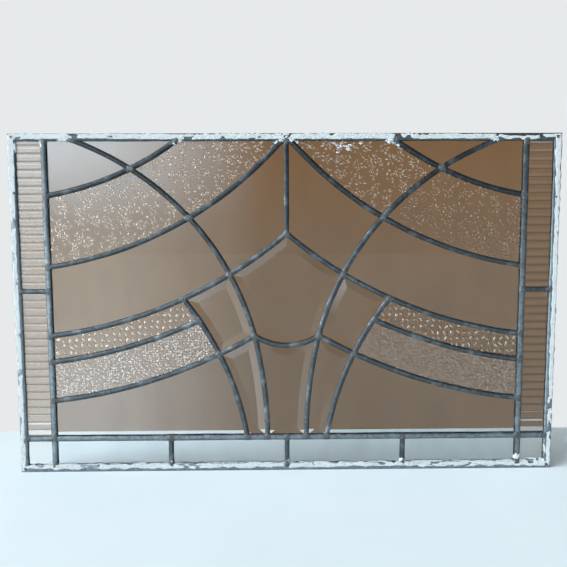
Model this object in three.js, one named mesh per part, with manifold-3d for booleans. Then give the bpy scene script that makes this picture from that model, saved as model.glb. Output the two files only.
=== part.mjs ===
// A leaded-light window panel: thirty-four pieces of clear, bevelled and patterned glass held in lead
// cames, drawn with a compass as sweeps, arches and a fan about a centre line.
//
// Millimetres. X runs across the panel, Z up it and Y through it, with the face side at -Y. The origin is
// the middle of the bottom edge. Every came and every pane is one closed solid.
import * as THREE from 'three';
import { mergeVertices } from 'three/addons/utils/BufferGeometryUtils.js';
import Module from 'manifold-3d';

// ---------------------------------------------------------------- driving dimensions

const PANEL = { width: 648, height: 406 };
const UPRIGHT_X = 283;          // centre line of each upright came
const RAIL_Z = 41.3;            // centre line of the base rail
const DIVIDER_X = 141.5;        // outer base dividers; the third stands on the centre line

// The compass drawing of the left half. The right half mirrors it.
const SWEEP_CENTRE = { x: -345, z: 702 };
const SWEEP_RADII = { upper: 373, second: 456, third: 538, fourth: 569.5, lowest: 617 };
const ARCH = { x: -365, z: 82, r: 337 };
const ARCH_LEG_CENTRE = { x: -560, z: 40 };
const FAN = { x: -414, z: -18.6, r: 370.5 };
const SWAG_CENTRE = { x: 0, z: 225 };

// Cames. A half width is from the centre line to the edge of the leaf. All share one channel.
const HALF = { pattern: 3, main: 3.5 };
const CHANNEL = 2.0;            // half the gap between the two leaves
const HEART = 0.75;             // half the thickness of the web that joins the leaves
const LEAF_EDGE = 2.6;          // depth of a rounded leaf at its edge and at its crown
const LEAF_CROWN = 3.4;
const BORDER = { width: 8.5, wall: 1.5, depth: 3.6, chamfer: 0.7 };
const JOINT_GAP = 0.3;          // between a came's cut end and the came it butts against
const CUTTER_DEPTH = 10;        // deeper than any came, for the blocks that trim the ends

// Glass. Depths are measured along Y from the middle of the channel.
const GLASS = { back: 1.5, front: -1.5 };
const GLASS_EDGE = 1.4;         // from a came's centre line to the edge of the glass
const BORDER_GLASS_EDGE = 2.5;  // from the panel's outer edge to the edge of the glass
const BEVEL = { width: 10, edge: -0.9, face: -3.2 };
const REED = { pitch: 9.3, valley: -0.8, crest: -1.7, segments: 4 };

const FACET_RISE = 0.22;        // how far a facet may cut inside its arc

const LEAD = new THREE.MeshStandardMaterial({ color: 0x56626a, roughness: 0.55, metalness: 0.8 });
const CLEAR = new THREE.MeshStandardMaterial({ color: 0xdfe8e6, roughness: 0.05, metalness: 0,
  transparent: true, opacity: 0.35 });
const TEXTURED = new THREE.MeshStandardMaterial({ color: 0xe6e9e4, roughness: 0.2, metalness: 0,
  transparent: true, opacity: 0.5 });

const { width: W, height: H } = PANEL;
const group = new THREE.Group();
const wasm = await Module();
wasm.setup();

// ---------------------------------------------------------------- plane geometry

// A straight centre line, either upright (x = at) or level (z = at).
class Line {
  constructor(axis, at) { Object.assign(this, { axis, at }); }
  // The same line moved by d towards the point p.
  towards(p, d) { return new Line(this.axis, this.at + Math.sign(p[this.axis] - this.at) * d); }
  steps() { return 1; }
  // Points from a to b, both on the line.
  between(a, b) { return [a, b]; }
  mirrored() { return this.axis === 'x' ? new Line('x', -this.at) : this; }
}

// A circular centre line.
class Circle {
  constructor(x, z, r) { Object.assign(this, { x, z, r }); }
  towards(p, d) {
    const inside = Math.hypot(p.x - this.x, p.z - this.z) < this.r;
    return new Circle(this.x, this.z, this.r + (inside ? -d : d));
  }
  start(a) { return Math.atan2(a.z - this.z, a.x - this.x); }
  // The shorter way round from a to b, as an angle.
  turn(a, b) {
    const angle = this.start(b) - this.start(a);
    return angle - 2 * Math.PI * Math.round(angle / (2 * Math.PI));
  }
  // How many facets FACET_RISE asks for between a and b.
  steps(a, b) { return Math.max(2, Math.ceil(Math.abs(this.turn(a, b)) * Math.sqrt(this.r / (8 * FACET_RISE)))); }
  between(a, b, steps = this.steps(a, b)) {
    return Array.from({ length: steps + 1 }, (_, i) => {
      const angle = this.start(a) + this.turn(a, b) * i / steps;
      return { x: this.x + this.r * Math.cos(angle), z: this.z + this.r * Math.sin(angle) };
    });
  }
  mirrored() { return new Circle(-this.x, this.z, this.r); }
}

function lineMeetsCircle(line, circle) {
  const along = line.axis === 'x' ? 'z' : 'x';
  const half = Math.sqrt(circle.r ** 2 - (line.at - circle[line.axis]) ** 2);
  return [-half, half].map((h) => ({ [line.axis]: line.at, [along]: circle[along] + h }));
}

function circlesMeet(a, b) {
  const dx = b.x - a.x, dz = b.z - a.z, gap = Math.hypot(dx, dz);
  const along = (a.r ** 2 - b.r ** 2 + gap ** 2) / (2 * gap);
  const half = Math.sqrt(a.r ** 2 - along ** 2);
  return [-half, half].map((h) => ({
    x: a.x + (along * dx - h * dz) / gap,
    z: a.z + (along * dz + h * dx) / gap,
  }));
}

// Where two centre lines meet: of the two places, the one nearer the point p.
function meet(a, b, p) {
  if (a instanceof Line && b instanceof Line) return { [a.axis]: a.at, [b.axis]: b.at };
  const found = a instanceof Line ? lineMeetsCircle(a, b)
    : b instanceof Line ? lineMeetsCircle(b, a) : circlesMeet(a, b);
  return found.sort((u, v) => Math.hypot(u.x - p.x, u.z - p.z) - Math.hypot(v.x - p.x, v.z - p.z))[0];
}

const mirrorPoint = (p) => ({ x: -p.x, z: p.z });

// ---------------------------------------------------------------- the drawing

const top = new Line('z', H);
const bottom = new Line('z', 0);
const rail = new Line('z', RAIL_Z);
const centre = new Line('x', 0);
const sideBarLine = new Line('z', (RAIL_Z + H - BORDER.width / 2) / 2);

const sweep = (name) => new Circle(SWEEP_CENTRE.x, SWEEP_CENTRE.z, SWEEP_RADII[name]);
const arch = new Circle(ARCH.x, ARCH.z, ARCH.r);
const knee = meet(arch, sweep('lowest'), { x: -38, z: 165 });
const through = (c, p) => new Circle(c.x, c.z, Math.hypot(p.x - c.x, p.z - c.z));

// The left half's lines by name. The swag crosses the centre line, so it belongs to both halves.
const LEFT = {
  edge: new Line('x', -W / 2), upright: new Line('x', -UPRIGHT_X),
  upper: sweep('upper'), second: sweep('second'), third: sweep('third'),
  fourth: sweep('fourth'), lowest: sweep('lowest'),
  arch, leg: through(ARCH_LEG_CENTRE, knee), fan: new Circle(FAN.x, FAN.z, FAN.r),
  divider: new Line('x', -DIVIDER_X),
};
const RIGHT = Object.fromEntries(Object.entries(LEFT).map(([k, line]) => [k, line.mirrored()]));
const swag = through(SWAG_CENTRE, knee);
const SIDES = [
  { side: 'left', line: LEFT, at: (x, z) => ({ x, z }) },
  { side: 'right', line: RIGHT, at: (x, z) => mirrorPoint({ x, z }) },
];

// ---------------------------------------------------------------- solids

// A path in the panel's plane whose section stays square to it, with its depth along Y.
class LeadPath extends THREE.Curve {
  constructor(points) {
    super();
    this.points = points.map((p) => new THREE.Vector3(p.x, 0, p.z));
    this.steps = points.length - 1;
  }
  getSpacedPoints() { return this.points; }
  computeFrenetFrames() {
    const depth = new THREE.Vector3(0, 1, 0);
    const unit = (i) => this.points[i + 1].clone().sub(this.points[i]).normalize();
    const normals = [], binormals = [];
    this.points.forEach((_, i) => {
      const before = unit(Math.max(0, i - 1)), after = unit(Math.min(this.steps - 1, i));
      const tangent = before.clone().add(after).normalize();
      normals.push(depth);
      binormals.push(tangent.clone().cross(depth).divideScalar(tangent.dot(before)));
    });
    return { normals, binormals };
  }
}

function solidOf(geometry) {
  const bare = geometry.index ? geometry.toNonIndexed() : geometry.clone();
  bare.deleteAttribute('normal');
  bare.deleteAttribute('uv');
  const merged = mergeVertices(bare, 1e-3);
  return new wasm.Manifold(new wasm.Mesh({
    numProp: 3,
    vertProperties: merged.attributes.position.array,
    triVerts: new Uint32Array(merged.index.array),
  }));
}

function geometryOf(solid) {
  const { numProp, numVert, vertProperties, triVerts } = solid.getMesh();
  const positions = new Float32Array(numVert * 3);
  for (let i = 0; i < numVert; i++) positions.set(vertProperties.subarray(i * numProp, i * numProp + 3), i * 3);
  const geometry = new THREE.BufferGeometry();
  geometry.setAttribute('position', new THREE.BufferAttribute(positions, 3));
  geometry.setIndex(new THREE.BufferAttribute(triVerts, 1));
  return geometry;
}

// Adds one solid to the panel. A trimmed came keeps only its largest body.
function addSolid(name, solid, material) {
  const [largest] = solid.decompose().sort((a, b) => b.volume() - a.volume());
  addMesh(name, geometryOf(largest), material);
}

function addMesh(name, geometry, material) {
  const mesh = new THREE.Mesh(geometry, material);
  mesh.name = name;
  group.add(mesh);
}

const shapeOf = (pairs) => new THREE.Shape(pairs.map(([x, y]) => new THREE.Vector2(x, y)));

// The section of a rounded came: two leaves with a ridged crown, joined by the heart. x is the depth.
function roundSection(half) {
  const leaf = [[CHANNEL, half], [CHANNEL, HEART], [-CHANNEL, HEART], [-CHANNEL, half],
    [-LEAF_EDGE, half], [-LEAF_CROWN, 0]];
  const turned = leaf.map(([depth, across]) => [-depth, -across]);
  return shapeOf([[LEAF_EDGE, half], ...leaf, ...[[-LEAF_EDGE, -half]], ...turned]);
}

// The section of the border came, open towards the glass, with flat leaves. y runs inwards from the edge.
function borderSection() {
  const { width, wall, depth, chamfer } = BORDER;
  const leaf = [[depth, 0], [depth, width - chamfer], [depth - chamfer, width], [CHANNEL, width], [CHANNEL, wall]];
  return shapeOf([...leaf, ...leaf.map(([x, y]) => [-x, y]).reverse()]);
}

const sweepSection = (section, points) => {
  const extrudePath = new LeadPath(points);
  return solidOf(new THREE.ExtrudeGeometry(section, { extrudePath, steps: extrudePath.steps }));
};

const came = (points, half = HALF.pattern) => sweepSection(roundSection(half), points);

// A block along a came's path, wider than the came by the joint gap, that trims whatever butts against it.
function trimmer(points, half = HALF.pattern) {
  const across = half + JOINT_GAP, deep = CUTTER_DEPTH;
  return sweepSection(shapeOf([[deep, -across], [deep, across], [-deep, across], [-deep, -across]]), points);
}

const trimmed = (solid, ...cutters) => cutters.reduce((left, cutter) => left.subtract(cutter), solid);

// ---------------------------------------------------------------- border, uprights and base

function addBorder() {
  const inner = BORDER.width + JOINT_GAP;
  const strips = {
    came_border_bottom: [{ x: -W / 2, z: 0 }, { x: W / 2, z: 0 }],
    came_border_right: [{ x: W / 2, z: inner }, { x: W / 2, z: H - inner }],
    came_border_top: [{ x: W / 2, z: H }, { x: -W / 2, z: H }],
    came_border_left: [{ x: -W / 2, z: H - inner }, { x: -W / 2, z: inner }],
  };
  for (const [name, ends] of Object.entries(strips)) addSolid(name, sweepSection(borderSection(), ends), LEAD);
}

// The border's inner edges, past which no other came may reach.
const borderTrimmers = [
  [{ x: -W, z: 0 }, { x: W, z: 0 }], [{ x: -W, z: H }, { x: W, z: H }],
  [{ x: -W / 2, z: -H }, { x: -W / 2, z: 2 * H }], [{ x: W / 2, z: -H }, { x: W / 2, z: 2 * H }],
].map((ends) => trimmer(ends, BORDER.width));

const uprightEnds = (line) => [{ x: line.upright.at, z: 0 }, { x: line.upright.at, z: H }];
const railEnds = [{ x: -W / 2, z: RAIL_Z }, { x: W / 2, z: RAIL_Z }];
const uprightTrimmers = SIDES.map(({ line }) => trimmer(uprightEnds(line), HALF.main));
const railTrimmer = trimmer(railEnds, HALF.main);

function addUprightsAndBase() {
  for (const { side, line } of SIDES) {
    addSolid(`came_upright_${side}`, trimmed(came(uprightEnds(line), HALF.main), ...borderTrimmers), LEAD);
    const level = (z) => [{ x: line.edge.at, z }, { x: line.upright.at, z }];
    addSolid(`came_base_rail_${side}`,
      trimmed(came(level(RAIL_Z), HALF.main), ...borderTrimmers, ...uprightTrimmers), LEAD);
    addSolid(`came_side_bar_${side}`,
      trimmed(came(level(sideBarLine.at)), ...borderTrimmers, ...uprightTrimmers), LEAD);
  }
  const middle = [{ x: -UPRIGHT_X, z: RAIL_Z }, { x: UPRIGHT_X, z: RAIL_Z }];
  addSolid('came_base_rail_middle', trimmed(came(middle, HALF.main), ...uprightTrimmers), LEAD);
  for (const [name, x] of [['left', -DIVIDER_X], ['middle', 0], ['right', DIVIDER_X]]) {
    const ends = [{ x, z: 0 }, { x, z: RAIL_Z }];
    addSolid(`came_base_divider_${name}`, trimmed(came(ends), ...borderTrimmers, railTrimmer), LEAD);
  }
}

// ---------------------------------------------------------------- the pattern's cames

// Points along one line of a half, between the places where it meets two others near p and q.
function stretch(along, from, p, to, q) {
  return along.between(meet(along, from, p), meet(along, to, q));
}

// The arch runs from the top edge to the knee, and from there down its straighter leg to the rail.
function archPoints({ line, at }) {
  const upper = stretch(line.arch, top, at(-272, H), line.lowest, at(-38, 165));
  const lower = line.leg.between(upper.at(-1), meet(line.leg, rail, at(-23, RAIL_Z)));
  return [...upper, ...lower.slice(1)];
}

const archTrimmers = SIDES.map((half) => trimmer(archPoints(half)));

// The lengths of sweep outside the arch, and the short one that runs on inside it to the top edge.
function addSweepEnds(half) {
  const { side, line, at } = half;
  const outer = (sweepLine, z) => came(stretch(sweepLine, line.upright, at(-283, z), line.arch, at(-150, z)));
  const cuts = [...uprightTrimmers, ...archTrimmers];
  addSolid(`came_upper_sweep_outer_${side}`, trimmed(outer(line.upper, 334), ...cuts), LEAD);
  addSolid(`came_second_sweep_outer_${side}`, trimmed(outer(line.second, 280), ...cuts), LEAD);
  const inner = came(stretch(line.upper, line.arch, at(-184, 368), top, at(-120, H)));
  addSolid(`came_upper_sweep_inner_${side}`, trimmed(inner, ...archTrimmers, ...borderTrimmers), LEAD);
}

// Third, fourth and lowest sweeps soldered to the fan's arc.
function addFan({ side, line, at }) {
  const strips = [
    stretch(line.third, line.upright, at(-283, 168), line.arch, at(-66, 240)),
    stretch(line.fourth, line.upright, at(-283, 136), line.fan, at(-106, 185)),
    stretch(line.lowest, line.upright, at(-283, 88), line.arch, at(-38, 165)),
    stretch(line.fan, line.third, at(-122, 210), rail, at(-49, RAIL_Z)),
  ];
  const lattice = strips.map((points) => came(points)).reduce((a, b) => a.add(b));
  addSolid(`came_fan_${side}`, trimmed(lattice, ...uprightTrimmers, ...archTrimmers, railTrimmer), LEAD);
}

// The centre mullion with the four lengths of sweep that meet it at the top edge and at the peak.
function addCrown() {
  const peak = meet(LEFT.third, centre, { x: 0, z: 289 });
  const strips = [[peak, { x: 0, z: H }]];
  for (const { line, at } of SIDES) {
    strips.push(stretch(line.second, line.arch, at(-114, 307), centre, { x: 0, z: H }));
    strips.push(stretch(line.third, line.arch, at(-66, 240), centre, peak));
  }
  const lattice = strips.map((points) => came(points)).reduce((a, b) => a.add(b));
  addSolid('came_crown', trimmed(lattice, ...archTrimmers, ...borderTrimmers), LEAD);
}

function addPatternCames() {
  for (const half of SIDES) {
    addSolid(`came_arch_${half.side}`, trimmed(came(archPoints(half)), ...borderTrimmers, railTrimmer), LEAD);
    addSweepEnds(half);
    addFan(half);
  }
  addCrown();
  addSolid('came_swag', trimmed(came(swag.between(knee, mirrorPoint(knee))), ...archTrimmers), LEAD);
}

// ---------------------------------------------------------------- glass

// Where each side of a pane meets the next, and how many facets each side has.
const cornersOf = (sides, inside) => sides.map((side, i) => meet(side, sides[(i + 1) % sides.length], inside));

// A pane's outline, seen anticlockwise from the front. Each side is a came's centre line, moved towards a
// point inside the pane by how far the glass stays off it and by the inset.
function outline(sides, inside, inset) {
  const held = [LEFT.edge, RIGHT.edge, top, bottom];
  const drawn = cornersOf(sides, inside);
  const edges = sides.map((side) =>
    side.towards(inside, inset + (held.includes(side) ? BORDER_GLASS_EDGE : GLASS_EDGE)));
  const corners = cornersOf(edges, inside);
  const points = edges.flatMap((edge, i) =>
    edge.between(corners.at(i - 1), corners[i], sides[i].steps(drawn.at(i - 1), drawn[i])).slice(1));
  const contour = points.map((p) => new THREE.Vector2(p.x, p.z));
  return THREE.ShapeUtils.isClockWise(contour) ? contour.reverse() : contour;
}

// Joins outlines of equal length into one solid, from the back of the pane to its front.
function stack(rings) {
  const positions = [], index = [];
  const count = rings[0].contour.length;
  for (const { contour, y } of rings) for (const p of contour) positions.push(p.x, y, p.y);
  for (let ring = 0; ring < rings.length - 1; ring++) {
    for (let i = 0; i < count; i++) {
      const a = ring * count + i, b = ring * count + (i + 1) % count;
      index.push(a, b, b + count, a, b + count, a + count);
    }
  }
  const lid = (ring) => THREE.ShapeUtils.triangulateShape(rings[ring].contour, []);
  const last = rings.length - 1;
  for (const [a, b, c] of lid(0)) index.push(c, b, a);
  for (const triangle of lid(last)) index.push(...triangle.map((i) => i + last * count));
  const geometry = new THREE.BufferGeometry();
  geometry.setAttribute('position', new THREE.Float32BufferAttribute(positions, 3));
  return geometry.setIndex(index);
}

function addFlatPane(name, sides, inside, material = CLEAR) {
  const contour = outline(sides, inside, 0);
  addMesh(name, stack([{ contour, y: GLASS.back }, { contour, y: GLASS.front }]), material);
}

// A thicker pane, flat at the back, whose face is ground to a slope along every edge.
function addBevelledPane(name, sides, inside) {
  const contour = outline(sides, inside, 0);
  const face = outline(sides, inside, BEVEL.width);
  addMesh(name, stack([
    { contour, y: GLASS.back }, { contour, y: BEVEL.edge }, { contour: face, y: BEVEL.face },
  ]), CLEAR);
}

// A strip of half-round reeds across a rectangle: they run along X where `level` is true, else along Z.
// The section lies along the shape's x, and turning it about Y lays a level pane's section down -Z.
function addReededPane(name, x0, x1, z0, z1, level) {
  const [start, end] = level ? [-z1, -z0] : [x0, x1];
  const length = level ? x1 - x0 : z1 - z0;
  const reeds = Math.round((end - start) / REED.pitch), pitch = (end - start) / reeds;
  const section = new THREE.Shape().moveTo(start, GLASS.back).lineTo(start, REED.valley);
  for (let i = 0; i < reeds; i++) {
    const pull = 2 * REED.crest - REED.valley;
    section.quadraticCurveTo(start + (i + 0.5) * pitch, pull, start + (i + 1) * pitch, REED.valley);
  }
  section.lineTo(end, GLASS.back);
  const geometry = new THREE.ExtrudeGeometry(section,
    { depth: length, bevelEnabled: false, curveSegments: REED.segments });
  if (level) geometry.rotateY(Math.PI / 2).translate(x0, 0, 0);
  else geometry.translate(0, 0, z0);
  addMesh(name, geometry, TEXTURED);
}

function addFieldGlass({ side, line, at }) {
  const { upright, upper, second, third, fourth, lowest, fan, leg } = line;
  addFlatPane(`glass_clear_corner_${side}`, [upright, top, line.arch, upper], at(-262, 376));
  addFlatPane(`glass_clear_wedge_${side}`, [top, upper, line.arch], at(-184, 390));
  addFlatPane(`glass_floral_outer_${side}`, [upright, upper, line.arch, second], at(-205, 320), TEXTURED);
  addFlatPane(`glass_floral_inner_${side}`, [upper, top, second, line.arch], at(-108, 360), TEXTURED);
  addFlatPane(`glass_clear_band_${side}`, [upright, second, line.arch, third], at(-170, 235));
  addFlatPane(`glass_clear_kite_${side}`, [centre, third, line.arch, second], at(-40, 315));
  addFlatPane(`glass_hammered_${side}`, [upright, third, fan, fourth], at(-200, 170), TEXTURED);
  addFlatPane(`glass_stippled_${side}`, [upright, fourth, fan, lowest], at(-190, 130), TEXTURED);
  addFlatPane(`glass_clear_foot_${side}`, [upright, lowest, fan, rail], at(-170, 75));
  addBevelledPane(`glass_bevelled_shoulder_${side}`, [third, line.arch, lowest, fan], at(-80, 190));
  addBevelledPane(`glass_bevelled_stem_${side}`, [lowest, leg, rail, fan], at(-48, 110));
}

function addCentreGlass() {
  addBevelledPane('glass_bevelled_heart', [LEFT.third, RIGHT.third, RIGHT.arch, swag, LEFT.arch], { x: 0, z: 215 });
  addBevelledPane('glass_bevelled_vase', [swag, RIGHT.leg, rail, LEFT.leg], { x: 0, z: 95 });
}

function addBorderGlass() {
  const outer = W / 2 - BORDER_GLASS_EDGE, inner = UPRIGHT_X + GLASS_EDGE;
  const low = BORDER_GLASS_EDGE, high = H - BORDER_GLASS_EDGE;
  const railTop = RAIL_Z + GLASS_EDGE, bar = sideBarLine.at;
  for (const { side, line, at } of SIDES) {
    const [x0, x1] = side === 'left' ? [-outer, -inner] : [inner, outer];
    addReededPane(`glass_reeded_side_upper_${side}`, x0, x1, bar + GLASS_EDGE, high, true);
    addReededPane(`glass_reeded_side_lower_${side}`, x0, x1, railTop, bar - GLASS_EDGE, true);
    addFlatPane(`glass_clear_base_corner_${side}`, [line.edge, rail, line.upright, bottom], at(-304, 20));
  }
  const posts = [-UPRIGHT_X, -DIVIDER_X, 0, DIVIDER_X, UPRIGHT_X];
  for (let i = 0; i < posts.length - 1; i++) {
    addReededPane(`glass_reeded_base_${i + 1}`, posts[i] + GLASS_EDGE, posts[i + 1] - GLASS_EDGE,
      low, RAIL_Z - GLASS_EDGE, false);
  }
}

// ---------------------------------------------------------------- assembly

addBorder();
addUprightsAndBase();
addPatternCames();
SIDES.forEach(addFieldGlass);
addCentreGlass();
addBorderGlass();

export default group;
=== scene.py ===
"""Looks of a leaded-light window panel: bevelled, clear and patterned glass in old lead cames.

Everything is drawn in millimetres in the panel's plane, X across and Z up, with the face side at -Y, and
turned to metres where a mesh is made. A compass drawing gives the centre line of every came. A pane is a
patch between the lines round it, and a came is a section carried along its line.
"""

import logging
import math
from collections.abc import Iterable, Sequence
from dataclasses import dataclass, field, replace
from enum import Enum
from functools import cached_property
from itertools import product

import bmesh
import bpy
import numpy as np
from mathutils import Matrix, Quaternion, Vector


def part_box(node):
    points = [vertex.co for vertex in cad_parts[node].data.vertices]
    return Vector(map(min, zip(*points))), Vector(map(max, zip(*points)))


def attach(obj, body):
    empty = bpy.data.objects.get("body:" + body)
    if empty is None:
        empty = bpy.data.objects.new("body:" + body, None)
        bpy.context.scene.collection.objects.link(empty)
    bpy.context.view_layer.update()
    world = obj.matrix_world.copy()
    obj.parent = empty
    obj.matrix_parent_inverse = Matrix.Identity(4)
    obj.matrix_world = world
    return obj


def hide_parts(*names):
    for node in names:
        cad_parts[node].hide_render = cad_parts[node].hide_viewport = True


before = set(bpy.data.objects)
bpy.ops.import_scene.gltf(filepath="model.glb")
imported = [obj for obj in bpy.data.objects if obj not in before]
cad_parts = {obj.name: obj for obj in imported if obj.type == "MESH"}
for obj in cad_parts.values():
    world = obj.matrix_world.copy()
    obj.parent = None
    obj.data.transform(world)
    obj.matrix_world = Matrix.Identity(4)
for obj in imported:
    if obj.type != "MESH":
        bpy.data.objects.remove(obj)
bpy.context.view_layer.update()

Array = np.ndarray
Pair = tuple[float, float]
Colour = tuple[float, float, float]
Socket = bpy.types.NodeSocket
Material = bpy.types.Material
Object = bpy.types.Object
log = logging.getLogger("panel")

MM = 0.001
BODY = "root"

TOP_CAME_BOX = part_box("came_border_top")
WIDTH = (TOP_CAME_BOX[1].x - TOP_CAME_BOX[0].x) / MM
HEIGHT = TOP_CAME_BOX[1].z / MM


# ---------------------------------------------------------------- compass drawing


@dataclass(frozen=True)
class Line:
    """A straight centre line: upright (axis 0, x = at) or level (axis 1, z = at)."""

    axis: int
    at: float

    def towards(self, point: Array, distance: float) -> "Line":
        """The same line moved by a distance towards a point."""
        return Line(self.axis, self.at + math.copysign(distance, point[self.axis] - self.at))

    def between(self, start: Array, end: Array, count: int) -> Array:
        """Evenly spaced points from start to end: start + t (end - start)."""
        t = np.linspace(0.0, 1.0, count + 1)[:, None]
        return start + t * (end - start)

    def mirrored(self) -> "Line":
        """The line's mirror image about the panel's centre line."""
        return Line(0, -self.at) if self.axis == 0 else self


@dataclass(frozen=True)
class Circle:
    """A circular centre line."""

    x: float
    z: float
    r: float

    @property
    def centre(self) -> Array:
        """The circle's centre."""
        return np.array([self.x, self.z])

    def towards(self, point: Array, distance: float) -> "Circle":
        """The circle shrunk or grown by a distance, towards a point inside or outside it."""
        inside = np.hypot(*(point - self.centre)) < self.r
        return Circle(self.x, self.z, self.r - distance if inside else self.r + distance)

    def between(self, start: Array, end: Array, count: int) -> Array:
        """Points along the shorter way round: centre + r (cos a, sin a), with the angle a evenly spaced.

        Args:
            start: The first point.
            end: The last.
            count: Steps between them.

        Returns:
            The points.
        """
        first = math.atan2(start[1] - self.z, start[0] - self.x)
        turn = math.remainder(math.atan2(end[1] - self.z, end[0] - self.x) - first, 2 * math.pi)
        angle = first + turn * np.linspace(0.0, 1.0, count + 1)
        return self.centre + self.r * np.column_stack([np.cos(angle), np.sin(angle)])

    def mirrored(self) -> "Circle":
        """The circle's mirror image about the panel's centre line."""
        return Circle(-self.x, self.z, self.r)


Curve = Line | Circle

# About where each two lines meet in the left half. Circles meet twice, and this tells which place is meant.
MEETINGS: dict[tuple[str, str], Pair] = {
    ("upright", "upper"): (-283, 334),
    ("upright", "second"): (-283, 250),
    ("upright", "third"): (-283, 168),
    ("upright", "fourth"): (-283, 136),
    ("upright", "lowest"): (-283, 88),
    ("upright", "side_bar"): (-283, 221),
    ("upright", "rail"): (-283, 41),
    ("arch", "top"): (-272, HEIGHT),
    ("arch", "upper"): (-184, 368),
    ("arch", "second"): (-114, 307),
    ("arch", "third"): (-66, 240),
    ("arch", "lowest"): (-38, 165),
    ("fan", "third"): (-122, 210),
    ("fan", "fourth"): (-106, 185),
    ("fan", "lowest"): (-100, 142),
    ("fan", "rail"): (-49, 41),
    ("leg", "rail"): (-23, 41),
    ("upper", "top"): (-120, HEIGHT),
    ("second", "centre"): (0, HEIGHT),
    ("third", "centre"): (0, 289),
}


def meet(a: Curve, b: Curve, near: Array) -> Array:
    """Where two centre lines meet.

    Args:
        a: One centre line.
        b: The other.
        near: A point near the wanted one of the two places where a circle is met.

    Returns:
        The meeting point. A line cuts a circle at centre -+ sqrt(r^2 - d^2) along it. Two circles meet at the
        foot of their common chord, plus or minus half that chord.
    """
    if isinstance(a, Line) and isinstance(b, Line):
        return np.array([a.at, b.at] if a.axis == 0 else [b.at, a.at])
    if isinstance(b, Line):
        a, b = b, a
    if isinstance(a, Line):
        half = math.sqrt(b.r**2 - (a.at - b.centre[a.axis]) ** 2)
        found = [np.full(2, a.at), np.full(2, a.at)]
        for point, side in zip(found, (-half, half)):
            point[1 - a.axis] = b.centre[1 - a.axis] + side
    else:
        across = b.centre - a.centre
        gap = np.hypot(*across)
        along = (a.r**2 - b.r**2 + gap**2) / (2 * gap)
        half = math.sqrt(a.r**2 - along**2)
        normal = np.array([-across[1], across[0]])
        found = [a.centre + (along * across + side * normal) / gap for side in (-half, half)]
    return min(found, key=lambda point: np.hypot(*(point - near)))


@dataclass(frozen=True)
class Drawing:
    """The compass drawing's driving sizes and the lines that both halves share."""

    upright_x: float = 283.0
    rail_z: float = 41.3
    divider_x: float = 141.5
    border: float = 8.5
    sweep_centre: Pair = (-345.0, 702.0)
    sweep_radii: tuple[float, ...] = (373.0, 456.0, 538.0, 569.5, 617.0)
    arch: Circle = Circle(-365.0, 82.0, 337.0)
    leg_centre: Pair = (-560.0, 40.0)
    fan: Circle = Circle(-414.0, -18.6, 370.5)
    swag_centre: Pair = (0.0, 225.0)

    top: Line = Line(1, HEIGHT)
    bottom: Line = Line(1, 0.0)
    centre: Line = Line(0, 0.0)

    @property
    def rail(self) -> Line:
        """The base rail's centre line."""
        return Line(1, self.rail_z)

    @property
    def side_bar(self) -> Line:
        """The level bar halfway up each side strip."""
        return Line(1, (self.rail_z + HEIGHT - self.border / 2) / 2)

    def sweep(self, index: int) -> Circle:
        """One of the concentric sweeps, counted from the top."""
        return Circle(*self.sweep_centre, self.sweep_radii[index])

    @cached_property
    def knee(self) -> Array:
        """Where the left arch meets the lowest sweep and turns into its straighter leg."""
        return meet(self.arch, self.sweep(4), np.array(MEETINGS["arch", "lowest"]))

    def through_knee(self, centre: Pair) -> Circle:
        """The circle about a centre that passes through the knee."""
        return Circle(*centre, float(np.hypot(*(self.knee - centre))))

    @property
    def swag(self) -> Circle:
        """The swag that hangs between the two knees."""
        return self.through_knee(self.swag_centre)


class Side(Enum):
    """One half of the panel, with the sign that its X takes."""

    LEFT = 1
    RIGHT = -1

    @property
    def word(self) -> str:
        """The half's name in a node's name."""
        return self.name.lower()


@dataclass(frozen=True)
class Half:
    """The centre lines of one half of the panel. The right half mirrors the left."""

    drawing: Drawing
    side: Side

    def at(self, x: float, z: float) -> Array:
        """A point that is given for the left half, moved to this half."""
        return np.array([x * self.side.value, z])

    def own(self, curve: Curve) -> Curve:
        """A line of the left half, mirrored if this is the right half."""
        return curve if self.side is Side.LEFT else curve.mirrored()

    def line(self, name: str) -> Curve:
        """One of this half's centre lines by name.

        Args:
            name: Its name.

        Returns:
            The line.
        """
        d = self.drawing
        lines: dict[str, Curve] = {
            "edge": Line(0, -WIDTH / 2),
            "upright": Line(0, -d.upright_x),
            "upper": d.sweep(0),
            "second": d.sweep(1),
            "third": d.sweep(2),
            "fourth": d.sweep(3),
            "lowest": d.sweep(4),
            "arch": d.arch,
            "leg": d.through_knee(d.leg_centre),
            "fan": d.fan,
            "top": d.top,
            "bottom": d.bottom,
            "rail": d.rail,
            "centre": d.centre,
            "side_bar": d.side_bar,
            "swag": d.swag,
        }
        return self.own(lines[name])

    def lines(self, names: str) -> tuple[Curve, ...]:
        """Several centre lines, from their names with spaces between."""
        return tuple(self.line(name) for name in names.split())

    def meet(self, first: str, second: str) -> Array:
        """Where two of this half's lines meet, by their names in either order."""
        near = MEETINGS[(first, second) if (first, second) in MEETINGS else (second, first)]
        return meet(self.line(first), self.line(second), self.at(*near))


# ---------------------------------------------------------------- meshes


def grid_faces(rows: int, columns: int, start: int = 0) -> Array:
    """Quads of a grid of vertices numbered row by row: each joins a vertex to its next row and column.

    Args:
        rows: Rows of vertices.
        columns: Vertices in a row.
        start: The first vertex's number.

    Returns:
        Four vertex numbers for each quad.
    """
    row, column = np.meshgrid(np.arange(rows - 1), np.arange(columns - 1), indexing="ij")
    corner = start + row * columns + column
    return np.stack([corner, corner + columns, corner + columns + 1, corner + 1], -1).reshape(-1, 4)


def band_faces(first: Array, second: Array) -> Array:
    """Quads between two closed loops of vertex numbers of equal length."""
    return np.stack([first, np.roll(first, -1), np.roll(second, -1), second], -1)


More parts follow.
